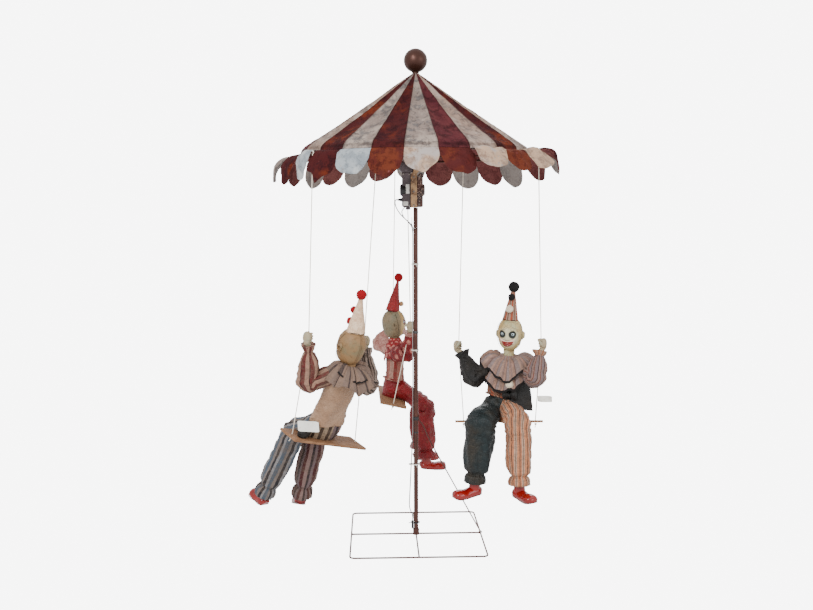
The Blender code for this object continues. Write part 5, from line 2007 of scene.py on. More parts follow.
@dataclass
class Dresser:
    """Builds and dresses one doll with its swing."""

    doll: Doll

    def build(self) -> None:
        """Builds the swing and everything on it."""
        self.ropes()
        self.board()
        self.trousers()
        self.jacket()
        self.head()
        self.hat()
        self.ruff()
        self.extras()
        for side in Side:
            self.hand(side)
            self.shoe(side)

    # The swing

    def ropes(self) -> None:
        """Laid rope in three strands, with an eye round the arm and a knot under the seat."""
        for side, part in ((Side.RIGHT, "rope_inner"), (Side.LEFT, "rope_outer")):
            points = self.doll.rope_points(side)
            pattern = Pattern()
            self.laid_rope(pattern, points)
            self.eye(pattern, points[0])
            self.knot(pattern, points[-1], (points[-1] - points[-2]).normalized())
            made = pattern.make(self.doll.named(part + "_laid"), [ROPE], self.doll.body, "white_rope")
            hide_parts(self.doll.named(part))

    @staticmethod
    def laid_rope(pattern: Pattern, points: Sequence[Vector]) -> None:
        """Adds a rope whose three-lobed section turns as it goes."""
        rows, run = [], 0.0
        side = Vector((1.0, 0.1, 0.0))
        for start, end in zip(points, points[1:]):
            span = (end - start).length
            steps = max(1, round(span / 0.0018))
            along = (end - start).normalized()
            across = (side - along * side.dot(along)).normalized()
            third = along.cross(across)
            for step in range(steps):
                turn = 2 * math.pi * run / ROPE_LAY
                centre = start.lerp(end, step / steps)
                row = []
                for column in range(12):
                    angle = 2 * math.pi * column / 12
                    radius = ROPE_RADIUS * (0.86 + 0.20 * abs(math.cos(1.5 * (angle - turn))))
                    spoke = across * math.cos(angle) + third * math.sin(angle)
                    row.append(centre + spoke * radius)
                rows.append(row)
                run += span / steps
        pattern.grid(rows, wrapped(12, 0.0018))

    def eye(self, pattern: Pattern, top: Vector) -> None:
        """Adds the eye round the arm and the whipping below it."""
        centre = Vector((top.x, top.y, ARM_HEIGHT))
        rows = []
        for step in range(32):
            turn = 2 * math.pi * step / 32
            spoke = self.doll.ahead * math.cos(turn) + UP * math.sin(turn)
            middle = centre + spoke * 0.0050
            row = []
            for k in range(8):
                angle = 2 * math.pi * k / 8
                radius = ROPE_RADIUS * (0.88 + 0.14 * abs(math.cos(4.5 * turn + angle / 2)))
                row.append(middle + (spoke * math.cos(angle) + self.doll.out * math.sin(angle)) * radius)
            rows.append(row)
        pattern.grid(rows, wrapped(8, 0.001), round_rows=True)
        stations = [
            Station(top + UP * (0.0012 - 0.0016 * step), 0.0023 - 0.0002 * (step % 2), 0.0023)
            for step in range(7)
        ]
        tube(pattern, stations, 2, 12, RIGHTWARDS)

    @staticmethod
    def knot(pattern: Pattern, end: Vector, down: Vector) -> None:
        """Adds an overhand knot and a frayed tail."""
        centre = end + down * 0.0046
        side = down.orthogonal().normalized()
        third = down.cross(side)
        route = []
        for step in range(25):
            turn = 2 * math.pi * 2 * step / 24
            reach = 0.0026 + 0.0010 * math.cos(1.5 * turn)
            spoke = side * math.cos(turn) + third * math.sin(turn)
            route.append(centre + spoke * reach + down * 0.0022 * math.sin(1.5 * turn))
        stations = [Station(point, 0.0014, 0.0014) for point in route]
        tube(pattern, stations, 2, 8, down + side * 0.31)
        tail = [
            Station(centre, 0.0012, 0.0012),
            Station(centre + down * 0.006 + side * 0.001, 0.0013, 0.0013),
            Station(centre + down * 0.011 + side * 0.003, 0.0018, 0.0016),
            Station(centre + down * 0.013 + side * 0.004, 0.0016, 0.0014),
        ]
        tube(pattern, tail, 3, 10, side)

    def board(self) -> None:
        """The plywood seat, kept from the CAD."""
        turn = math.atan2(self.doll.out.y, self.doll.out.x)
        dress(self.doll.named("seat"), Plywood(self.doll.named("plywood"), turn))

    # Clothes

    def leg_stations(self, side: Side) -> list[Station]:
        """A trouser leg, from inside the hips over the knee to the gathered ankle and its frill."""
        doll = self.doll
        joints = (doll.hips, doll.knees, doll.ankles)
        hip, knee, ankle = (Vector(points[side.value]) for points in joints)
        waist, loose = Vector(doll.waist), doll.leg_fullness[side.value] - 1.0
        climb = min(1.0, loose * 4)
        sections = (
            (hip.lerp(waist, 0.75 * climb) - (knee - hip) * 0.10, 0.024, 0.024),
            (hip.lerp(waist, 0.40 * climb), 0.033 + 0.030 * loose, 0.034),
            (hip, 0.035 * (1 + 0.75 * loose), 0.035),
            (hip + (knee - hip) * 0.6, 0.039 * (1 + 0.93 * loose), 0.035),
            (knee + Vector((0.0, 0.010, -0.010)), 0.040 * (1 + loose), 0.036),
            (knee.lerp(ankle, 0.30), 0.041 * (1 + 0.85 * loose), 0.037),
            (knee.lerp(ankle, 0.62), 0.043 * (1 + 0.45 * loose), 0.039),
            (knee.lerp(ankle, 0.85), 0.040 * (1 + 0.25 * loose), 0.037),
            (knee.lerp(ankle, 0.935), 0.0275, 0.0270),
            (knee.lerp(ankle, 0.975), 0.0350, 0.0335),
            (knee.lerp(ankle, 1.035), 0.0392, 0.0370),
            (knee.lerp(ankle, 1.090), 0.0378, 0.0355),
            (knee.lerp(ankle, 1.088), 0.0345, 0.0325),
            (knee.lerp(ankle, 1.02), 0.0280, 0.0270),
        )
        return [Station(doll.at(point), width, depth) for point, width, depth in sections]

    def leg_fold(self, side: Side) -> Fold:
        """The folds of a leg: bunched at the knee, gathered at the ankle, pleated in the frill."""
        seed = 0.31 * self.doll.index + 0.17 * side.value

        def fold(station: float, angle: float, point: Vector) -> float:
            """How far out the cloth stands."""
            gather = bell(station, 8.0, 0.9)
            frill = clamped((station - 8.2) / 2.0) * (1.0 if station < 11.6 else 0.7)
            knee = bell(station, 3.9, 0.9)
            hang = bell(station, 6.0, 1.6)
            wave = math.sin(13.0 * station + 3.0 * noise.noise(Vector((angle * 0.9, station * 0.4, seed))))
            pleat = math.cos(15.0 * angle + 2.4 * noise.noise(Vector((angle, station * 0.3, seed + 4.0))))
            drape = math.cos(5.0 * angle + 2.8 * noise.noise(Vector((station * 0.5, seed, 2.0))))
            return (
                crumple(point, 0.0052, 0.0036, seed)
                + 0.0022 * gather * pleat
                + 0.0021 * frill * pleat
                + 0.0034 * knee * wave
                + 0.0036 * hang * drape
            )

        return fold

    def trousers(self) -> None:
        """Hips and two legs in one padded piece."""
        doll = self.doll
        pelvis, waist = Vector(doll.pelvis), Vector(doll.waist)
        down = (pelvis - waist).normalized()
        side = -doll.out
        pattern = Pattern()
        hips = [
            Station(doll.at(pelvis + down * 0.037), 0.030, 0.020),
            Station(doll.at(pelvis + down * 0.033), doll.hip_width - 0.006, 0.036),
            Station(doll.at(pelvis), doll.hip_width, 0.041),
            Station(doll.at(pelvis.lerp(waist, 0.6)), doll.hip_width - 0.005, 0.041),
            Station(doll.at(waist), 0.050, 0.039),
        ]

        def hip_fold(station: float, angle: float, point: Vector) -> float:
            """Pleats under the waist and general crumpling."""
            pleat = math.cos(11.0 * angle + 2.0 * noise.noise(point * 20.0))
            return crumple(point, 0.0015, 0.0020) + 0.0014 * pleat * max(0.0, station - 1.5) / 2.5

        def hip_cloth(row: int, column: int) -> int:
            """The hips' finishes on the doll's right and on its left."""
            return doll.costume.hip_finishes[0 if math.cos(2 * math.pi * column / 64) > 0 else 1]

        tube(pattern, hips, 8, 64, side, hip_fold, hip_cloth)
        for which in Side:
            stations, fold = self.leg_stations(which), self.leg_fold(which)
            tube(pattern, stations, 9, 72, side, fold, plain(which.value))
        finishes = [*doll.costume.legs, doll.costume.hips]
        made = pattern.make(doll.named("padded_trousers"), finishes, doll.body, doll.named("trousers_cloth"))
        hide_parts(doll.named("trousers"))

    def sleeve_stations(self, side: Side) -> list[Station]:
        """A sleeve, from inside the shoulder to the gathered wrist and its cuff."""
        doll = self.doll
        joints = (doll.shoulders, doll.elbows, doll.hands)
        shoulder, elbow, hand = (Vector(points[side.value]) for points in joints)
        chest = Vector(doll.chest)
        wrist = hand - (hand - elbow).normalized() * 0.030
        onward = (wrist - elbow).normalized()
        full = doll.sleeve_fullness[side.value]
        sections = (
            (shoulder.lerp(chest, 0.4), 0.024, 0.024),
            (shoulder, 0.030, 0.030),
            (elbow.lerp(shoulder, 0.35), 0.032 * full, 0.032),
            (elbow, 0.0315 * full, 0.0315 * full),
            (elbow.lerp(wrist, 0.42), 0.0295 * full, 0.0295 * full),
            (elbow.lerp(wrist, 0.72), 0.0215 * full, 0.0215 * full),
            (elbow.lerp(wrist, 0.82), 0.0165, 0.0165),
            (elbow.lerp(wrist, 0.92), 0.0215, 0.0215),
            (wrist, 0.0256, 0.0256),
            (wrist + onward * 0.003, 0.0258, 0.0258),
            (wrist - onward * 0.004, 0.0215, 0.0215),
        )
        return [Station(doll.at(point), width, depth) for point, width, depth in sections]

    def sleeve_fold(self, side: Side) -> Fold:
        """The folds of a sleeve: bunched in the elbow, gathered and frilled at the wrist."""
        seed = 0.43 * self.doll.index + 0.29 * side.value + 0.1

        def fold(station: float, angle: float, point: Vector) -> float:
            """How far out the cloth stands."""
            gather = bell(station, 6.0, 0.7)
            frill = clamped((station - 6.1) / 1.6)
            elbow = bell(station, 3.0, 0.8)
            wave = math.sin(12.0 * station + 3.0 * noise.noise(Vector((angle * 0.8, station * 0.4, seed))))
            pleat = math.cos(11.0 * angle + 2.2 * noise.noise(Vector((angle, station * 0.3, seed + 4.0))))
            drift = noise.noise(Vector((angle * 0.6, station * 0.5, seed)))
            slack = clamped((6.0 - station) / 2.0) * min(1.0, station)
            return (
                crumple(point, 0.0056, 0.0034, seed)
                + 0.0030 * math.cos(4.0 * angle + 3.0 * drift) * slack
                + 0.0014 * gather * pleat
                + 0.0016 * frill * pleat
                + 0.0030 * elbow * wave
            )

        return fold

    def jacket(self) -> None:
        """Torso and two sleeves in one padded piece."""
        doll = self.doll
        waist, chest, neck = Vector(doll.waist), Vector(doll.chest), Vector(doll.neck)
        down = (Vector(doll.pelvis) - waist).normalized()
        side = -doll.out
        pattern = Pattern()
        wide, girth = doll.waist_width, doll.girth
        torso = [
            Station(doll.at(waist + down * (doll.hem - 0.005)), wide - 0.016, 0.028),
            Station(doll.at(waist + down * doll.hem), wide + 0.006, 0.047),
            Station(doll.at(waist - down * 0.004), wide + 0.0005, 0.0440 * girth),
            Station(doll.at(waist.lerp(chest, 0.35)), wide, 0.0430 * girth),
            Station(doll.at(chest), 0.0620 * girth, 0.0450 * girth),
            Station(doll.at(chest.lerp(neck, 0.60)), 0.0560 * girth, 0.0400 * girth),
            Station(doll.at(neck), 0.0260, 0.0260),
        ]

        def drape(station: float, angle: float, point: Vector) -> float:
            """Long folds that fall from the shoulders, deeper at the hem."""
            low = max(0.0, 4.0 - station) / 4.0
            drift = noise.noise(Vector((angle * 0.5, station * 0.3, doll.index)))
            fall = math.cos(6.0 * angle + 2.6 * drift)
            ends = min(1.0, station) * min(1.0, 6.0 - station)
            rough = crumple(point, 0.0046, 0.0034, doll.index * 0.5)
            return rough + 0.0056 * (0.3 + 0.7 * low) * fall * ends

        def torso_cloth(row: int, column: int) -> int:
            """The vest on the doll's left, the shirt elsewhere."""
            return 5 if math.cos(2 * math.pi * column / 80) < -0.22 else 2

        def sleeve_cloth(row: int, column: int, which: Side) -> int:
            """The sleeve's finish, or its cuff's near the wrist."""
            return which.value if row < 50 else 3 + which.value

        tube(pattern, torso, 9, 80, side, drape, torso_cloth)
        for which in Side:
            stations, fold = self.sleeve_stations(which), self.sleeve_fold(which)
            tube(pattern, stations, 8, 56, doll.ahead, fold, partial(sleeve_cloth, which=which))
        finishes = [*doll.costume.sleeves, doll.costume.torso, *doll.costume.cuffs, doll.costume.vest]
        made = pattern.make(doll.named("padded_jacket"), finishes, doll.body, doll.named("jacket_cloth"))
        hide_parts(doll.named("jacket"))

    # Head and hat

    def head_axes(self) -> tuple[Vector, Vector, Vector, Vector]:
        """The head's centre and its own side, front and up."""
        doll = self.doll
        centre = doll.at(doll.head)
        up = (doll.at(doll.hat_base) - centre).normalized()
        front = (doll.ahead - up * doll.ahead.dot(up)).normalized()
        size = doll.head_size
        return centre, up.cross(front) * -size, front * size, up * size

    @staticmethod
    def relief(across: float, rise: float) -> float:
        """How far the face stands out from the plain skull.

        Args:
            across: metres from the middle line.
            rise: metres above the head's centre.

        Returns:
            Metres outwards.
        """

        def hill(at_across: float, at_rise: float, wide: float, tall: float) -> float:
            """A smooth hill on both sides of the face."""
            return math.exp(-(((abs(across) - at_across) / wide) ** 2) - (((rise - at_rise) / tall) ** 2))

        def ridge(wide: float, at_rise: float, tall: float) -> float:
            """A smooth hill on the middle line."""
            return math.exp(-((across / wide) ** 2) - ((rise - at_rise) / tall) ** 2)

        middle = (
            ridge(0.0052, -0.0105, 0.0075) * 0.0095  # the nose's tip
            + ridge(0.0052, 0.0040, 0.0100) * 0.0035  # its bridge
            + ridge(0.0200, MOUTH_RISE, 0.0120) * 0.0036  # the muzzle
            + ridge(0.0110, -0.0480, 0.0080) * 0.0050  # the chin
        )
        return (
            middle
            + hill(0.0062, -0.0130, 0.0032, 0.0040) * 0.0030  # the nose's wings
            + hill(0.0190, 0.0205, 0.0110, 0.0055) * 0.0026  # the brows
            - hill(EYE_ACROSS, EYE_RISE, 0.0105, 0.0095) * 0.0045  # the eye sockets
            + hill(0.0270, -0.0140, 0.0100, 0.0100) * 0.0034  # the cheeks
            - hill(0.0245, -0.0240, 0.0030, 0.0100) * 0.0012  # the creases beside the mouth
        )

    def head(self) -> None:
        """Bald head with face, ears and neck; eyes and lips are pieces of their own."""
        doll = self.doll
        centre, side, front, up = self.head_axes()
        outline = (  # rise, half width and half depth
            (0.0600, 0.0040, 0.0040),
            (0.0592, 0.0110, 0.0120),
            (0.0560, 0.0200, 0.0215),
            (0.0500, 0.0285, 0.0310),
            (0.0400, 0.0368, 0.0400),
            (0.0220, 0.0445, 0.0480),
            (0.0060, 0.0458, 0.0500),
            (-0.0100, 0.0450, 0.0490),
            (-0.0250, 0.0425, 0.0460),
            (-0.0400, 0.0375, 0.0415),
            (-0.0500, 0.0310, 0.0350),
            (-0.0570, 0.0240, 0.0270),
            (-0.0620, 0.0180, 0.0200),
        )
        pattern = Pattern()
        columns, rings = 120, 8
        heights = [Vector(section) for section in outline]
        rows = []
        for step in range((len(outline) - 1) * rings + 1):
            rise, width, depth = catmull(heights, step / rings)
            row = []
            for column in range(columns):
                turn = 2 * math.pi * (column / columns - 0.5)
                facing = max(0.0, math.cos(turn))
                spoke = side * math.sin(turn) * width + front * math.cos(turn) * depth
                spot = centre + up * rise + spoke
                lift = self.relief(turn * HEAD_ROUND, rise) * min(1.0, facing * 2.5)
                lift += 0.0004 * noise.noise(spot * 40.0)
                row.append(spot + spoke.normalized() * lift)
            rows.append(row)

        def place(row: int, column: int) -> Place:
            """Metres from the middle line and above the centre."""
            share = min(row, len(rows) - 1) / rings
            turn = 2 * math.pi * (column / columns - 0.5)
            return turn * HEAD_ROUND, catmull(heights, share).x

        pattern.grid(rows, place)
        for way in (-1.0, 1.0):
            root = centre + side * way * 0.0445 - up * 0.004 - front * 0.002
            self.ear(pattern, root, side * way, front, up)
        neck = doll.at(doll.neck)
        stem = [
            Station(neck.lerp(centre, share), 0.0205 + 0.0008 * (step % 2), 0.0205)
            for step, share in enumerate((-0.02, 0.10, 0.20, 0.30, 0.40, 0.50, 0.60))
        ]
        rows, runs = tube_rows(stem, 5, 48, side)
        pattern.grid(rows, lambda row, column: (0.2, 0.2 + runs[row]))
        made = pattern.make(doll.named("moulded_head"), [doll.costume.skin], doll.body, "pale_skin")
        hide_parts(doll.named("head"))
        self.eyes(centre, side, front, up)
        self.lips(centre, side, front, up)

    @staticmethod
    def ear(pattern: Pattern, root: Vector, out: Vector, front: Vector, up: Vector) -> None:
        """Adds an ear: a curved shell with a rim and a hollow."""
        columns, steps = 28, 9
        rows = []
        for row in range(steps + 1):
            share = row / steps
            rim = bell(share, 0.72, 0.13)
            hollow = math.exp(-(((1.0 - share) / 0.30) ** 2))
            lift = 0.0085 * rim - 0.0005 * hollow + 0.0028 * math.sin(share * math.pi)
            scale = max(0.06, min(1.0, 1.06 - 0.98 * max(0.0, share - 0.35) / 0.65))
            ring = []
            for column in range(columns):
                angle = 2 * math.pi * column / columns
                high = math.sin(angle)
                tall = 0.0170 * (1.0 - 0.10 * high) * high * scale
                wide = 0.0098 * (1.0 + 0.20 * high) * math.cos(angle) * scale
                back = 0.30 * lift + 0.004 * max(0.0, high) * scale
                ring.append(root + up * tall + front * (wide - back) + out * lift)
            rows.append(ring)
        pattern.grid(rows, lambda row, column: (0.2, 0.1 + row * 0.002))

    def eyes(self, centre: Vector, side: Vector, front: Vector, up: Vector) -> None:
        """Glossy eyeballs with painted irises, behind thick lids."""
        skin = self.doll.costume.skin
        pattern = Pattern()
        for way in (-1.0, 1.0):
            turn = way * EYE_ACROSS / HEAD_ROUND
            look = (side * math.sin(turn) * 0.55 + front).normalized()
            spot = centre + side * math.sin(turn) * 0.0395 + front * math.cos(turn) * 0.0385
            spot += up * EYE_RISE

            def layer(row: int, column: int) -> int:
                """Pupil, iris and white, from the middle out."""
                return 2 if row < 5 else 1 if row < 12 else 0

            dome(pattern, spot, 0.0092, look, 40, 28, math.pi * 0.62, finish=layer)
            across = up.cross(look).normalized()
            for tall in (0.0072, -0.0070):
                stations = []
                for step in range(9):
                    bow = math.radians(-80 + 20 * step)
                    proud = look * (0.0055 * math.cos(bow * 0.9) + 0.0006)
                    point = spot + across * 0.0098 * math.sin(bow) + up * tall * math.cos(bow) + proud
                    wide = 0.0004 + 0.0011 * math.sin(math.pi * (step + 0.6) / 9.2)
                    stations.append(Station(point, wide, 0.0010))
                tube(pattern, stations, 3, 10, look, finish=plain(3))
        rim = BLACK_TRIM if skin.rings is not None else skin
        finishes = [EYE_WHITE, EYE_IRIS, EYE_PUPIL, rim]
        made = pattern.make(self.doll.named("eyes"), finishes, self.doll.body, "pale_skin")
        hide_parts(self.doll.named("head"))

    def lips(self, centre: Vector, side: Vector, front: Vector, up: Vector) -> None:
        """Red lips that curl up at the corners."""
        pattern = Pattern()
        for lip, shift, thick in ((1.0, 0.0024, 0.0032), (-1.0, -0.0042, 0.0046)):
            stations = []
            for step in range(15):
                share = 2 * step / 14 - 1
                across = share * 0.0215
                turn = across / HEAD_ROUND
                arch = (shift - 0.0008 * (1 - lip)) * (1 - share**2)
                rise = -0.0300 + across * across * 11.0 + arch
                reach = 0.0452 + self.relief(across, rise) + 0.0004
                if lip > 0:
                    rise -= 0.0008 * math.exp(-((across / 0.0040) ** 2))
                spot = centre + side * math.sin(turn) * (reach - 0.0035) + up * rise
                spot += front * math.cos(turn) * reach
                size = thick * (0.25 + 0.75 * math.sqrt(max(0.0, 1 - share**2)))
                stations.append(Station(spot, size, size * 0.72))
            tube(pattern, stations, 2, 12, up)
        made = pattern.make(self.doll.named("lips"), [LIP_RED], self.doll.body, "pale_skin")
        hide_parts(self.doll.named("head"))

    def hat(self) -> None:
        """A tall cone with its elastic, its pompons and a few creases."""
        doll = self.doll
        base, tip = doll.at(doll.hat_base), doll.at(doll.hat_tip)
        up = (tip - base).normalized()
        seed = doll.index * 0.7
        sections = (
            (base - up * 0.0065, doll.hat_radius - 0.0035),
            (base - up * 0.0095, doll.hat_radius),
            (base - up * 0.0060, doll.hat_radius - 0.0002),
            *((base.lerp(tip, share), doll.hat_width(share)) for share in (0.3, 0.6, 0.86)),
            (tip + up * 0.004, doll.hat_point),
        )
        stations = [Station(point, radius, radius) for point, radius in sections]

        def fold(station: float, angle: float, point: Vector) -> float:
            """Soft dents and a few long creases."""
            long = math.cos(4.0 * angle + 2.0 * noise.noise(point * 12.0))
            return crumple(point, 0.0008, 0.0008, seed) + 0.0007 * long

        pattern = Pattern()
        tube(pattern, stations, 8, 64, -doll.out, fold)
        made = pattern.make(doll.named("hat_cone"), [doll.costume.hat], doll.body, doll.named("hat_cloth"))
        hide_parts(doll.named("hat"))
        brim = Pattern()
        rows = []
        side = up.orthogonal().normalized()
        third = up.cross(side)
        for step, out in enumerate(circle(Vector(), side, third, 64)):
            lift = 0.0008 * math.sin(5 * 2 * math.pi * step / 64)
            middle = base - up * (0.0088 - lift) + out * (doll.hat_radius - 0.0002)
            rows.append(circle(middle, out * 0.0014, up * 0.0014, 8))
        brim.grid(rows, wrapped(8, 0.003), round_rows=True)
        self.elastic(brim)
        brim.make(doll.named("hat_elastic"), [BLACK_TRIM], doll.body, doll.named("hat_cloth"))
        balls = [(tip + up * doll.pompon_radius * 0.8, doll.pompon_radius * 0.98, doll.costume.tip_yarn)]
        front = (doll.ahead - up * doll.ahead.dot(up)).normalized()
        for share, radius, yarn in doll.costume.front_pompons:
            proud = front * (doll.hat_width(share) + radius * 0.75)
            balls.append((base.lerp(tip, share) + proud, radius, yarn))
        for order, (centre, radius, yarn) in enumerate(balls):
            self.pompon(f"pompon_{order}", centre, radius, yarn)

    def elastic(self, pattern: Pattern) -> None:
        """Adds the thin elastic that runs from the brim under the chin."""
        centre, side, front, up = self.head_axes()
        course = (  # to the side, up and in front of the head's centre
            (0.0300, 0.0470, 0.002),
            (0.0440, 0.0300, 0.006),
            (0.0478, 0.0080, 0.010),
            (0.0460, -0.0180, 0.012),
            (0.0380, -0.0430, 0.014),
            (0.0200, -0.0600, 0.014),
            (0.0, -0.0640, 0.014),
        )
        for way in (-1.0, 1.0):
            route = [centre + side * way * x + up * rise + front * y for x, rise, y in course]
            rod(pattern, route, 0.0006, 6)

    def pompon(self, part: str, centre: Vector, radius: float, yarn: Finish) -> None:
        """A ball of cut yarn."""
        pattern = Pattern()

        def tufts(share: float, angle: float, point: Vector) -> float:
            """The uneven ends of the yarn."""
            heights = ((0.09, 240.0), (0.07, 620.0), (0.03, 90.0))
            return radius * sum(height * noise.noise(point * scale) for height, scale in heights)

        dome(pattern, centre, radius * 0.97, Vector((0.2, 0.3, 1.0)), 64, 40, lift=tufts)
        pattern.make(self.doll.named(part), [yarn], self.doll.body, self.doll.named("hat_cloth"))

    # Collar, hands and shoes

    def extras(self) -> None:
        """What only one of the dolls has: blank tags, and a vest's front with a bow and a pompon."""
        if self.doll.body is Body.ORANGE:
            self.vest_front()
            self.bow((0.3870, 0.046, 0.5970))
            self.pompon("chest_pompon", self.doll.at((0.3880, 0.052, 0.6400)), 0.0160, PALE_YARN)
            self.tag("rope_tag", (0.5165, 0.016, 0.5860), RIGHTWARDS, UP, 0.0540, 0.0240)
        if self.doll.body is Body.CREAM:
            along, rise = (0.81, 0.58, 0.10), (0.0, 0.1, 1.0)
            self.tag("waist_tag", (0.4340, 0.106, 0.4960), along, rise, 0.0740, 0.0380)
            self.pouch((0.4260, 0.140, 0.4700))

    def direction(self, way: Sequence[float]) -> Vector:
        """A direction given out from the pole, ahead and up, in the frame."""
        return self.doll.unshifted(*way).normalized()

    def tag(
        self,
        part: str,
        middle: Sequence[float],
        along: Sequence[float],
        rise: Sequence[float],
        width: float,
        height: float,
    ) -> None:
        """Builds a blank card tag that bends a little.

        Args:
            part: its name.
            middle: its middle, as a point of the doll.
            along: the way its long edge runs.
            rise: the way its short edge runs.
            width: how long it is.
            height: how tall it is.
        """
        centre, across, up = self.doll.at(middle), self.direction(along), self.direction(rise)
        out = across.cross(up)
        rows = []
        for step in range(7):
            tall = (step / 6 - 0.5) * height
            row = []
            for column in range(13):
                wide = (column / 12 - 0.5) * width
                corner = max(0.0, abs(column / 6 - 1) - 0.8) * 5
                bend = 0.0040 * math.sin(column * 0.42 + step * 0.2)
                row.append(centre + across * wide + up * tall * (1 - 0.16 * corner) + out * bend)
            rows.append(row)
        pattern = Pattern()
        pattern.leaf(rows, 0.0006, lambda row, column: (column / 12, row * height / 6))
        pattern.make(self.doll.named(part), [CARD], self.doll.body, "white_rope")

    def bow(self, middle: Sequence[float]) -> None:
        """Builds a black bow: two stuffed loops and a knot."""
        doll = self.doll
        centre = doll.at(middle)
        sections = (  # out from the knot, up, half width and half depth
            (0.0, 0.0, 0.0060, 0.0060),
            (0.009, 0.001, 0.0120, 0.0080),
            (0.018, 0.002, 0.0175, 0.0095),
            (0.025, 0.002, 0.0165, 0.0080),
            (0.028, 0.002, 0.0090, 0.0040),
        )

        def dents(station: float, angle: float, point: Vector) -> float:
            """Small creases."""
            return crumple(point, 0.0016, 0.0018)

        pattern = Pattern()
        for way in (-1.0, 1.0):
            stations = [
                Station(centre + doll.out * way * run + UP * rise, width, depth)
                for run, rise, width, depth in sections
            ]
            tube(pattern, stations, 5, 40, UP, dents)
        dome(pattern, centre + doll.ahead * 0.004, 0.0075)
        made = pattern.make(doll.named("black_bow"), [BLACK_CLOTH], doll.body, doll.named("jacket_cloth"))

    def pouch(self, middle: Sequence[float]) -> None:
        """Builds the dark rounded pouch beside the hip."""
        doll = self.doll
        centre, along = doll.at(middle), self.direction((0.80, -0.45, -0.10))
        half = ((0.040, 0.006), (0.034, 0.015), (0.014, 0.0215))
        sizes = (*((-run, size) for run, size in half), *reversed(half))
        stations = [Station(centre + along * run, size, size * 0.8) for run, size in sizes]

        def dents(station: float, angle: float, point: Vector) -> float:
            """Small creases."""
            return crumple(point, 0.0015, 0.0016)

        pattern = Pattern()
        tube(pattern, stations, 5, 40, UP, dents)
        made = pattern.make(doll.named("dark_pouch"), [BLACK_CLOTH], doll.body, doll.named("jacket_cloth"))

    def vest_front(self) -> None:
        """Builds the black vest's loose left half, which hangs over the hip."""
        doll = self.doll
        waist, chest = Vector(doll.waist), Vector(doll.chest)
        rows = []
        for step in range(17):
            share = step / 16
            height = chest.z + 0.012 - 0.126 * share
            middle = waist.lerp(chest, (height - waist.z) / (chest.z - waist.z))
            row = []
            for column in range(37):
                angle = math.radians(-74 + 142 * column / 36)
                fold = 0.0035 * math.sin(7.0 * angle + 1.3) * share + 0.008 * share
                wide = 0.078 + 0.020 * share + 1.6 * fold
                spot = middle + Vector((math.cos(angle) * wide, math.sin(angle) * (0.051 + fold), 0.0))
                spot.z = height - 0.008 * share * math.cos(2.3 * angle)
                row.append(doll.at(spot))
            rows.append([spot + doll.out * crumple(spot, 0.0022, 0.0022) for spot in row])
        pattern = Pattern()
        pattern.leaf(rows, CLOTH, wrapped(36, 0.008))
        made = pattern.make(doll.named("vest_front"), [BLACK_CLOTH], doll.body, doll.named("jacket_cloth"))
        doll.named("padded_jacket")

    def ruff(self) -> None:
        """The collar's gathered tiers, with dark braid along the edges of trimmed ones."""
        doll = self.doll
        up = (doll.at(doll.head) - doll.at(doll.chest)).normalized()
        neck = doll.at(doll.neck) - up * 0.006
        side = (-doll.out - up * (-doll.out).dot(up)).normalized()
        ahead = up.cross(side)
        pattern = Pattern()
        columns, steps = 216, 14
        for tier in doll.costume.tiers:
            rows = []
            for column in range(columns):
                turn = 2 * math.pi * column / columns
                spoke = side * math.cos(turn) + ahead * math.sin(turn)
                beside = math.cos(turn) ** 2
                before = 1 if math.sin(turn) > 0 else 2
                fall = tier.falls[0] * beside + tier.falls[before] * (1 - beside)
                lap = Vector((math.cos(turn) * 1.4, math.sin(turn) * 1.4, tier.seed))
                edge = tier.reach * (0.80 + 0.20 * beside) * (1 + 0.22 * noise.noise(lap))
                phase = tier.waves * turn + 3.2 * noise.noise(lap * 1.7)
                deep = tier.wave * (0.8 + 0.9 * noise.noise(lap * 2.3))
                top = []
                for step in range(steps + 1):
                    share = 0.945 * step / (steps - 1) if step < steps else 1.0
                    out = 0.0225 + (edge - 0.0225) * share
                    puff = tier.puff * math.sin(math.pi * share) * (0.3 + 0.7 * beside)
                    arch = tier.lift * (1 - share) + puff - fall * share ** (1.3 + beside)
                    wave = deep * (math.cos(phase) + 0.35 * math.cos(2.4 * phase + 1.0)) * share**0.8
                    sway = 0.6 * deep * math.sin(phase) * share
                    spot = neck + spoke * (out + 0.3 * wave) + up * (arch + wave) + up.cross(spoke) * sway
                    top.append(spot + up * crumple(spot, tier.crumple, tier.crumple, tier.seed))
                under = [point - up * CLOTH for point in top]
                rows.append([*top, *reversed(under)])
            count = 2 * (steps + 1)

            def place(row: int, column: int, count: int = count) -> Place:
                """Round the neck, and outwards."""
                step = column if column <= steps else count - 1 - column
                return row / columns, max(0, step) * 0.006

            def finish(row: int, column: int, tier: Flounce = tier, count: int = count) -> int:
                """Cloth, with braid along the edge of a trimmed tier."""
                step = min(column, count - 2 - column)
                return 1 if tier.trimmed and step >= steps - 1 else 0

            pattern.grid(rows, place, finish, round_rows=True)
        finishes = [doll.costume.ruff, BLACK_TRIM]
        made = pattern.make(doll.named("two_tier_ruff"), finishes, doll.body, doll.named("ruff_cloth"))
        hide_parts(doll.named("ruff"))
        area = sum(4.4 * tier.reach**2 for tier in doll.costume.tiers)
        area / doll.ruff_reach
        doll.named("padded_jacket")

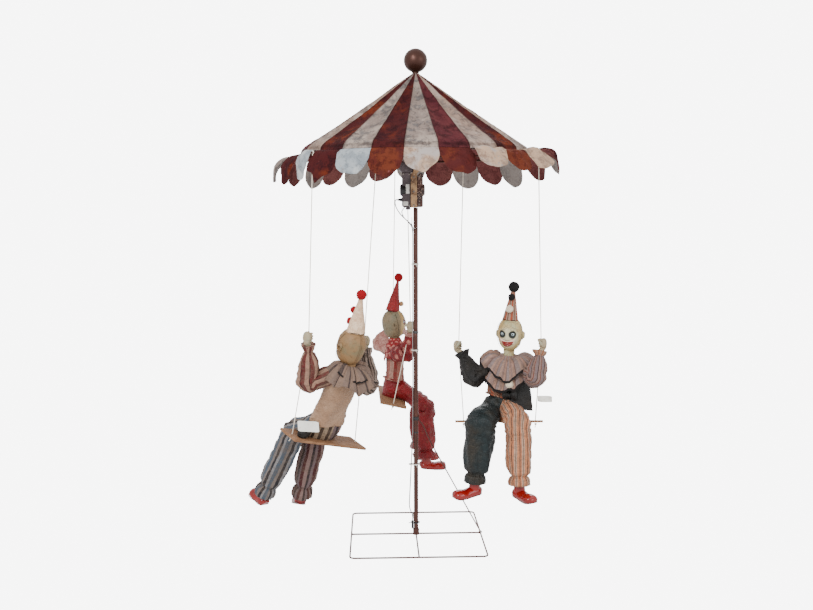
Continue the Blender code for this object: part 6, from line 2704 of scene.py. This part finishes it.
    def hand(self, side: Side) -> None:
        """A fist with four fingers and a thumb closed round the rope."""
        doll = self.doll
        hand, elbow = doll.at(doll.hands[side.value]), doll.at(doll.elbows[side.value])
        points = doll.rope_points(side)
        along = (points[1] - points[2]).normalized()
        arm = (hand - elbow).normalized()
        way = 1.0 if side is Side.RIGHT else -1.0
        inwards = doll.out * -way
        outward = (inwards - along * inwards.dot(along)).normalized()
        front = along.cross(outward) * way
        pattern = Pattern()
        palm = hand + outward * 0.0088 - front * 0.0015
        stations = [
            Station(hand - arm * 0.037 + outward * 0.001, 0.0092, 0.0092),
            Station(hand - arm * 0.029 + outward * 0.002, 0.0098, 0.0098),
            Station(palm - along * 0.017, 0.0118, 0.0096),
            Station(palm - along * 0.007, 0.0168, 0.0118),
            Station(palm + along * 0.005, 0.0176, 0.0122),
            Station(palm + along * 0.0145, 0.0136, 0.0100),
            Station(palm + along * 0.0205, 0.0062, 0.0048),
        ]

        def dents(station: float, angle: float, point: Vector) -> float:
            """An uneven skin."""
            return 0.0006 * noise.noise(point * 120.0)

        tube(pattern, stations, 6, 36, front, dents)
        fingers = ((0.0040, 0.9), (0.0048, 1.0), (0.0049, 1.0), (0.0041, 0.86))
        for finger, (thick, long) in enumerate(fingers):
            rise = -0.0115 + 0.0088 * finger
            stations = []
            for step in range(10):
                bend = math.radians(150 - step * 27)
                reach = 0.0094 + 0.0028 * max(0.0, math.cos(bend + 0.6)) + (0.0018 if step < 2 else 0.0)
                spoke = outward * math.cos(bend) - front * math.sin(bend)
                point = hand + along * (rise - 0.00024 * step) + spoke * reach * long
                depth = thick * (0.75 if step in (0, 9) else 1.0)
                width = thick * 1.07 if step in (3, 6) else depth
                stations.append(Station(point, width, depth))
            tube(pattern, stations, 4, 16, along)
            tip = stations[-1].point
            dome(pattern, tip, thick * 0.75, tip - stations[-2].point, 16, 8)
        thumb = [
            Station(palm - along * 0.010 + front * 0.010, 0.0055, 0.0055),
            Station(palm - along * 0.002 + front * 0.0165 - outward * 0.004, 0.0056, 0.0054),
            Station(hand + front * 0.0165 + along * 0.006, 0.0052, 0.0050),
            Station(hand + front * 0.0150 + along * 0.014 - outward * 0.006, 0.0046, 0.0044),
            Station(hand + front * 0.0130 + along * 0.019 - outward * 0.009, 0.0030, 0.0030),
        ]
        tube(pattern, thumb, 5, 16, along)
        part = "hand_right" if side is Side.RIGHT else "hand_left"
        made = pattern.make(doll.named(part + "_fist"), [HAND_SKIN], doll.body, "pale_skin")
        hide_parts(doll.named(part))

    def shoe(self, side: Side) -> None:
        """A glossy moulded shoe with a bulb toe, a sole and an ankle."""
        doll = self.doll
        joints = (doll.ankles, doll.toes, doll.knees)
        ankle, toe, knee = (Vector(points[side.value]) for points in joints)
        down = (ankle - knee).normalized()
        heel = ankle + down * 0.062
        run = toe - heel
        onward = run.normalized()
        outline = (
            (heel - onward * 0.0270 - down * 0.004, 0.0120, 0.0100),
            (heel - onward * 0.0235 - down * 0.005, 0.0190, 0.0165),
            (heel - onward * 0.0100 - down * 0.006, 0.0240, 0.0215),
            (heel + run * 0.18 - down * 0.003, 0.0235, 0.0210),
            (heel + run * 0.45, 0.0255, 0.0190),
            (heel + run * 0.72 - down * 0.001, 0.0280, 0.0205),
            (heel + run * 0.92 - down * 0.001, 0.0265, 0.0190),
            (toe + onward * 0.002, 0.0190, 0.0140),
            (toe + onward * 0.006, 0.0080, 0.0060),
        )
        sole_down = (doll.at(heel + down) - doll.at(heel)).normalized()
        along = (doll.at(toe) - doll.at(heel)).normalized()
        below = (sole_down - along * sole_down.dot(along)).normalized()
        across = along.cross(below)
        columns = 56
        stations = [Station(doll.at(point), width, depth) for point, width, depth in outline]
        rows, runs = tube_rows(stations, 7, columns, across)

        def bottom(row: Sequence[Vector]) -> tuple[Vector, float]:
            """The middle of a ring, and how far below it the ring goes."""
            middle = sum(row, Vector()) / len(row)
            return middle, max((point - middle).dot(below) for point in row)

        flattened = []
        for row in rows:
            middle, lowest = bottom(row)
            drops = [max(0.0, (point - middle).dot(below) - lowest * 0.62) for point in row]
            flattened.append([point - below * drop * 0.92 for point, drop in zip(row, drops)])
        bottoms = [bottom(row) for row in flattened]

        def finish(row: int, column: int) -> int:
            """The sole's finish underneath."""
            middle, lowest = bottoms[row]
            drop = (flattened[row][column % columns] - middle).dot(below)
            return 1 if drop > lowest - 0.0022 else 0

        pattern = Pattern()
        pattern.grid(flattened, measured(columns, runs), finish)
        for way in (-1.0, 1.0):
            welt = []
            for row, (middle, lowest) in list(zip(flattened, bottoms))[4:-2:5]:
                widest = max((point - middle).dot(across) for point in row)
                welt.append(middle + below * (lowest - 0.0030) + across * way * (widest * 0.955))
            rod(pattern, welt, 0.0011, 8, 1)
        stem = ((ankle + down * 0.012, 0.0200), (ankle + down * 0.030, 0.0208))
        stem += ((ankle + down * 0.048, 0.0222), (heel - down * 0.002, 0.0215))
        stations = [Station(doll.at(point), radius, radius) for point, radius in stem]
        tube(pattern, stations, 5, 40, across)
        part = "shoe_right" if side is Side.RIGHT else "shoe_left"
        made = pattern.make(doll.named(part + "_moulded"), [SHOE_RED, SHOE_SOLE], doll.body, "red_shoe")
        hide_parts(doll.named(part))


# Costumes and figures

DARK_LINE = (0.022, 0.010, 0.009)
ORANGE_STRIPES = (
    (0.00, DARK_LINE),
    (0.10, (0.420, 0.165, 0.080)),
    (0.42, (0.420, 0.270, 0.190)),
    (0.52, DARK_LINE),
    (0.60, (0.400, 0.250, 0.175)),
    (0.78, (0.400, 0.150, 0.075)),
)
RED_DIAGONALS = (
    (0.00, (0.018, 0.009, 0.009)),
    (0.16, (0.240, 0.045, 0.018)),
    (0.55, (0.300, 0.160, 0.105)),
    (0.66, (0.018, 0.009, 0.009)),
    (0.80, (0.320, 0.180, 0.120)),
)
GREY_STRIPES = (
    (0.00, (0.150, 0.105, 0.108)),
    (0.36, (0.020, 0.013, 0.014)),
    (0.48, (0.215, 0.130, 0.110)),
    (0.80, (0.110, 0.022, 0.012)),
    (0.90, (0.190, 0.120, 0.105)),
)
ORANGE_HAT_STRIPES = (
    (0.00, (0.300, 0.045, 0.016)),
    (0.34, (0.330, 0.200, 0.140)),
    (0.54, (0.030, 0.014, 0.014)),
    (0.66, (0.300, 0.180, 0.130)),
)
MAUVE_PLEATS = (
    (0.00, (0.205, 0.128, 0.110)),
    (0.22, (0.275, 0.155, 0.115)),
    (0.46, (0.120, 0.072, 0.066)),
    (0.54, (0.205, 0.150, 0.145)),
    (0.84, (0.290, 0.175, 0.135)),
)
DUSTY_RED_STRIPES = (
    (0.00, (0.090, 0.017, 0.015)),
    (0.44, (0.270, 0.150, 0.105)),
    (0.90, (0.025, 0.009, 0.008)),
)
BLACK_GREY_STRIPES = (
    (0.00, (0.012, 0.010, 0.010)),
    (0.24, (0.180, 0.125, 0.105)),
    (0.44, (0.030, 0.022, 0.020)),
    (0.64, (0.290, 0.220, 0.185)),
)
BLUE_GREY_STRIPES = (
    (0.00, (0.052, 0.074, 0.100)),
    (0.30, (0.180, 0.175, 0.180)),
    (0.50, (0.012, 0.012, 0.016)),
    (0.76, (0.150, 0.125, 0.115)),
)
PURPLE_STRIPES = (
    (0.00, (0.170, 0.105, 0.095)),
    (0.28, (0.046, 0.009, 0.010)),
    (0.54, (0.120, 0.080, 0.085)),
    (0.78, (0.022, 0.013, 0.015)),
)
BROWN_CREAM_STRIPES = (
    (0.00, (0.034, 0.018, 0.011)),
    (0.42, (0.270, 0.190, 0.125)),
)
PINK_STRIPES = (
    (0.00, (0.280, 0.085, 0.065)),
    (0.35, (0.340, 0.180, 0.140)),
    (0.70, (0.150, 0.009, 0.009)),
)
PURPLE_RUFF_STRIPES = (
    (0.00, (0.150, 0.100, 0.080)),
    (0.40, (0.036, 0.024, 0.024)),
    (0.58, (0.180, 0.115, 0.085)),
)

DOTTED_SLEEVE = PlainCloth(
    "red_dotted_sleeve_cloth",
    base=(0.130, 0.0025, 0.004),
    faded=(0.180, 0.006, 0.007),
    soil_and_fold_shade=(0.055, 0.002, 0.003),
    roughness=0.5,
    dots=(0.36, 0.13, 0.10),
    dot_grid=(5.0, 30.0),
    dot_size=0.30,
)
DOTTED_RUFF = PlainCloth(
    "red_dotted_ruff_cloth",
    base=(0.175, 0.0030, 0.0045),
    faded=(0.220, 0.008, 0.009),
    soil_and_fold_shade=(0.080, 0.002, 0.003),
    roughness=0.5,
    dots=(0.42, 0.16, 0.13),
    dot_grid=(10.0, 34.0),
    dot_size=0.30,
)
RED_SATIN = PlainCloth(
    "red_satin_cloth",
    base=(0.125, 0.0030, 0.0050),
    faded=(0.190, 0.0060, 0.0080),
    soil_and_fold_shade=(0.050, 0.0020, 0.0030),
    roughness=0.42,
    dots=(0.150, 0.022, 0.014),
    dot_grid=(6.0, 26.0),
    dot_size=0.14,
    mottle=0.4,
)
RED_HAT_SATIN = PlainCloth(
    "red_satin_hat_cloth",
    (0.175, 0.0050, 0.0060),
    (0.240, 0.0110, 0.0110),
    (0.085, 0.003, 0.004),
    0.42,
)
BLACK_CLOTH = PlainCloth(
    "black_sleeve_cloth",
    (0.0075, 0.0068, 0.0064),
    (0.019, 0.015, 0.012),
    (0.004, 0.0035, 0.0035),
    0.5,
)
TEAL_CLOTH = PlainCloth(
    "charcoal_teal_cloth",
    (0.0085, 0.0150, 0.0165),
    (0.024, 0.019, 0.013),
    (0.005, 0.0055, 0.0055),
    0.45,
)
PINK_CLOTH = PlainCloth(
    "pink_cuff_cloth", (0.34, 0.155, 0.125), (0.44, 0.26, 0.21), (0.15, 0.030, 0.026), 0.55
)
PINK_STRIPED = StripedCloth("pink_white_red_cloth", PINK_STRIPES, 5.0)
CREAM_SATIN = PlainCloth(
    "cream_satin_cloth",
    base=(0.270, 0.155, 0.092),
    faded=(0.330, 0.205, 0.132),
    soil_and_fold_shade=(0.150, 0.082, 0.050),
    roughness=0.42,
    mottle=0.35,
)
CREAM_FELT = PlainCloth(
    "cream_felt_hat_cloth", (0.58, 0.38, 0.24), (0.70, 0.52, 0.36), (0.38, 0.22, 0.12), 0.7
)
ORANGE_STRIPED = StripedCloth("orange_striped_cloth", ORANGE_STRIPES, 10.0)
BLACK_GREY_STRIPED = StripedCloth("black_grey_striped_cloth", BLACK_GREY_STRIPES, 7.0)
DUSTY_RED_STRIPED = StripedCloth("dusty_red_striped_cloth", DUSTY_RED_STRIPES, 7.0)
GREY_GREEN_SKIN = DollSkin(
    "grey_green_skin",
    base=(0.170, 0.125, 0.072),
    stain=(0.070, 0.036, 0.018),
    cool=(0.135, 0.120, 0.078),
    rings=(0.10, 0.004, 0.004),
    seam=True,
)
TAN_GREY_SKIN = DollSkin(
    "tan_grey_skin",
    base=(0.215, 0.120, 0.052),
    stain=(0.090, 0.045, 0.018),
    cool=(0.160, 0.120, 0.062),
    rings=(0.02, 0.03, 0.10),
    seam=True,
)

ORANGE_COSTUME = Costume(
    torso=StripedCloth("red_orange_diagonal_cloth", RED_DIAGONALS, 12.0, 60.0),
    sleeves=(BLACK_CLOTH, StripedCloth("grey_striped_sleeve_cloth", GREY_STRIPES, 8.0)),
    legs=(TEAL_CLOTH, ORANGE_STRIPED),
    hips=ORANGE_STRIPED,
    hat=StripedCloth("orange_striped_hat_cloth", ORANGE_HAT_STRIPES, 7.0),
    ruff=StripedCloth("mauve_pleated_cloth", MAUVE_PLEATS, 13.0),
    skin=DollSkin("yellow_green_face_paint", rings=(0.006, 0.009, 0.009)),
    tip_yarn=BLACK_YARN,
    front_pompons=((0.33, 0.0145, PALE_YARN), (0.78, 0.0133, BLACK_YARN)),
    cuffs=(BLACK_CLOTH, ORANGE_STRIPED),
    vest=BLACK_CLOTH,
    tiers=(
        Flounce(0.108, (0.056, 0.104, 0.080), 0.002, 0.016, 7, 0.0090, 0.0030, 1.0, True),
        Flounce(0.106, (0.006, 0.058, 0.044), 0.010, 0.026, 5, 0.0110, 0.0034, 2.3, True),
        Flounce(0.050, (-0.004, 0.012, 0.000), 0.024, 0.006, 6, 0.0040, 0.0018, 4.1, True),
    ),
    hip_finishes=(0, 1),
)
RED_COSTUME = Costume(
    torso=PINK_STRIPED,
    sleeves=(DOTTED_SLEEVE, PINK_CLOTH),
    legs=(RED_SATIN, RED_SATIN),
    hips=RED_SATIN,
    hat=RED_HAT_SATIN,
    ruff=DOTTED_RUFF,
    skin=GREY_GREEN_SKIN,
    tip_yarn=RED_YARN,
    front_pompons=((0.22, 0.0110, BEIGE_YARN),),
    cuffs=(PINK_CLOTH, DOTTED_SLEEVE),
    vest=PINK_STRIPED,
    tiers=(
        Flounce(0.066, (0.040, 0.050, 0.056), 0.006, 0.008, 6, 0.0080, 0.0024, 1.7),
        Flounce(0.048, (0.000, 0.014, 0.006), 0.036, 0.004, 6, 0.0050, 0.0020, 3.1),
    ),
)
CREAM_COSTUME = Costume(
    torso=CREAM_SATIN,
    sleeves=(BLACK_GREY_STRIPED, DUSTY_RED_STRIPED),
    legs=(
        StripedCloth("purple_striped_cloth", PURPLE_STRIPES, 6.0),
        StripedCloth("blue_grey_striped_cloth", BLUE_GREY_STRIPES, 6.0),
    ),
    hips=StripedCloth("brown_cream_striped_cloth", BROWN_CREAM_STRIPES, 14.0),
    hat=CREAM_FELT,
    ruff=StripedCloth("grey_purple_ruff_cloth", PURPLE_RUFF_STRIPES, 13.0),
    skin=TAN_GREY_SKIN,
    tip_yarn=RED_YARN,
    front_pompons=((0.18, 0.0140, RED_YARN), (0.58, 0.0132, RED_YARN)),
    cuffs=(BLACK_GREY_STRIPED, DUSTY_RED_STRIPED),
    vest=CREAM_SATIN,
    hip_finishes=(0, 2),
    tiers=(
        Flounce(0.102, (0.036, 0.062, 0.064), 0.004, 0.018, 6, 0.0120, 0.0040, 1.3),
        Flounce(0.078, (0.004, 0.030, 0.026), 0.016, 0.016, 5, 0.0110, 0.0040, 2.9, True),
    ),
)

ORANGE_CLOWN = Doll(
    name="orange_clown",
    body=Body.ORANGE,
    index=0,
    seat=(0.336, 0.000, 0.483),
    seat_turn=(0.0, 4.3, 12.0),
    shift=(-0.010, -0.042, -0.008),
    pelvis=(0.342, 0.000, 0.520),
    waist=(0.355, -0.012, 0.580),
    chest=(0.366, -0.018, 0.655),
    neck=(0.369, -0.010, 0.728),
    head=(0.378, 0.006, 0.8300),
    hat_base=(0.380, 0.012, 0.8890),
    hat_tip=(0.388, 0.000, 0.9890),
    hands=((0.1760, 0.012, 0.7720), (0.4990, 0.012, 0.7960)),
    elbows=((0.2420, 0.030, 0.6560), (0.4860, 0.046, 0.6700)),
    shoulders=((0.3080, -0.014, 0.6860), (0.4270, -0.014, 0.6960)),
    hips=((0.3100, 0.020, 0.5320), (0.3820, 0.020, 0.5380)),
    knees=((0.2960, 0.108, 0.5100), (0.4360, 0.108, 0.5180)),
    ankles=((0.2740, 0.112, 0.2880), (0.4430, 0.112, 0.2960)),
    toes=((0.2120, 0.176, 0.2240), (0.5060, 0.168, 0.2340)),
    ruff_reach=0.104,
    leg_fullness=(1.40, 1.15),
    waist_width=0.0680,
    head_size=1.03,
    hat_radius=0.0290,
    pompon_radius=0.0215,
    hip_width=0.068,
    sleeve_fullness=(1.06, 1.12),
    hat_point=0.0068,
    girth=1.00,
    hem=0.008,
    costume=ORANGE_COSTUME,
)
RED_CLOWN = Doll(
    name="red_clown",
    body=Body.RED,
    index=1,
    seat=(0.334, -0.042, 0.4940),
    seat_turn=(-6.9, 1.7, -13.0),
    shift=(0.0, 0.0, 0.0),
    pelvis=(0.330, -0.040, 0.5300),
    waist=(0.330, -0.030, 0.5750),
    chest=(0.330, -0.026, 0.6500),
    neck=(0.330, -0.026, 0.7200),
    head=(0.330, -0.033, 0.8120),
    hat_base=(0.330, -0.036, 0.8740),
    hat_tip=(0.330, -0.014, 0.9920),
    hands=((0.1900, 0.014, 0.8160), (0.4770, -0.012, 0.7960)),
    elbows=((0.2180, 0.010, 0.7040), (0.4560, -0.080, 0.7080)),
    shoulders=((0.2720, -0.030, 0.6900), (0.3900, -0.036, 0.6900)),
    hips=((0.2960, 0.000, 0.5260), (0.3660, 0.000, 0.5260)),
    knees=((0.2720, 0.088, 0.4640), (0.3920, 0.082, 0.4580)),
    ankles=((0.2700, 0.094, 0.2600), (0.3980, 0.090, 0.2660)),
    toes=((0.2700, 0.176, 0.1960), (0.4020, 0.172, 0.2040)),
    ruff_reach=0.078,
    leg_fullness=(1.05, 1.05),
    waist_width=0.0430,
    head_size=1.00,
    hat_radius=0.0290,
    pompon_radius=0.0190,
    hip_width=0.050,
    sleeve_fullness=(0.98, 0.76),
    hat_point=0.0036,
    girth=0.82,
    hem=0.008,
    costume=RED_COSTUME,
)
CREAM_CLOWN = Doll(
    name="cream_clown",
    body=Body.CREAM,
    index=2,
    seat=(0.334, 0.155, 0.4250),
    seat_turn=(0.0, 15.0, 12.5),
    shift=(0.107, -0.152, 0.034),
    pelvis=(0.336, 0.150, 0.4700),
    waist=(0.335, 0.112, 0.5350),
    chest=(0.330, 0.046, 0.6400),
    neck=(0.321, 0.012, 0.7060),
    head=(0.320, 0.003, 0.7830),
    hat_base=(0.313, -0.017, 0.8430),
    hat_tip=(0.306, -0.036, 0.9490),
    hands=((0.2160, 0.064, 0.7840), (0.4770, 0.033, 0.8240)),
    elbows=((0.2060, 0.050, 0.6260), (0.4500, 0.078, 0.6620)),
    shoulders=((0.2680, 0.040, 0.6640), (0.3900, 0.034, 0.6820)),
    hips=((0.3000, 0.175, 0.4640), (0.3720, 0.175, 0.4820)),
    knees=((0.2860, 0.262, 0.4420), (0.3860, 0.256, 0.4560)),
    ankles=((0.2820, 0.376, 0.1780), (0.4220, 0.408, 0.2000)),
    toes=((0.2560, 0.448, 0.1060), (0.4320, 0.490, 0.1700)),
    ruff_reach=0.092,
    leg_fullness=(1.15, 1.20),
    waist_width=0.0640,
    head_size=1.07,
    hat_radius=0.0330,
    pompon_radius=0.0190,
    hip_width=0.072,
    sleeve_fullness=(1.12, 1.18),
    hat_point=0.0072,
    girth=1.00,
    hem=0.032,
    costume=CREAM_COSTUME,
)


def main() -> None:
    """Builds everything in order."""
    logging.basicConfig(level=logging.INFO, format="%(message)s")
    Studio().build()
    Stand().build()
    MotorHead().build()
    Canopy(tab_looks=TAB_LOOKS).build()
    for doll in (ORANGE_CLOWN, RED_CLOWN, CREAM_CLOWN):
        Dresser(doll).build()


if __name__ == "__main__":
    main()
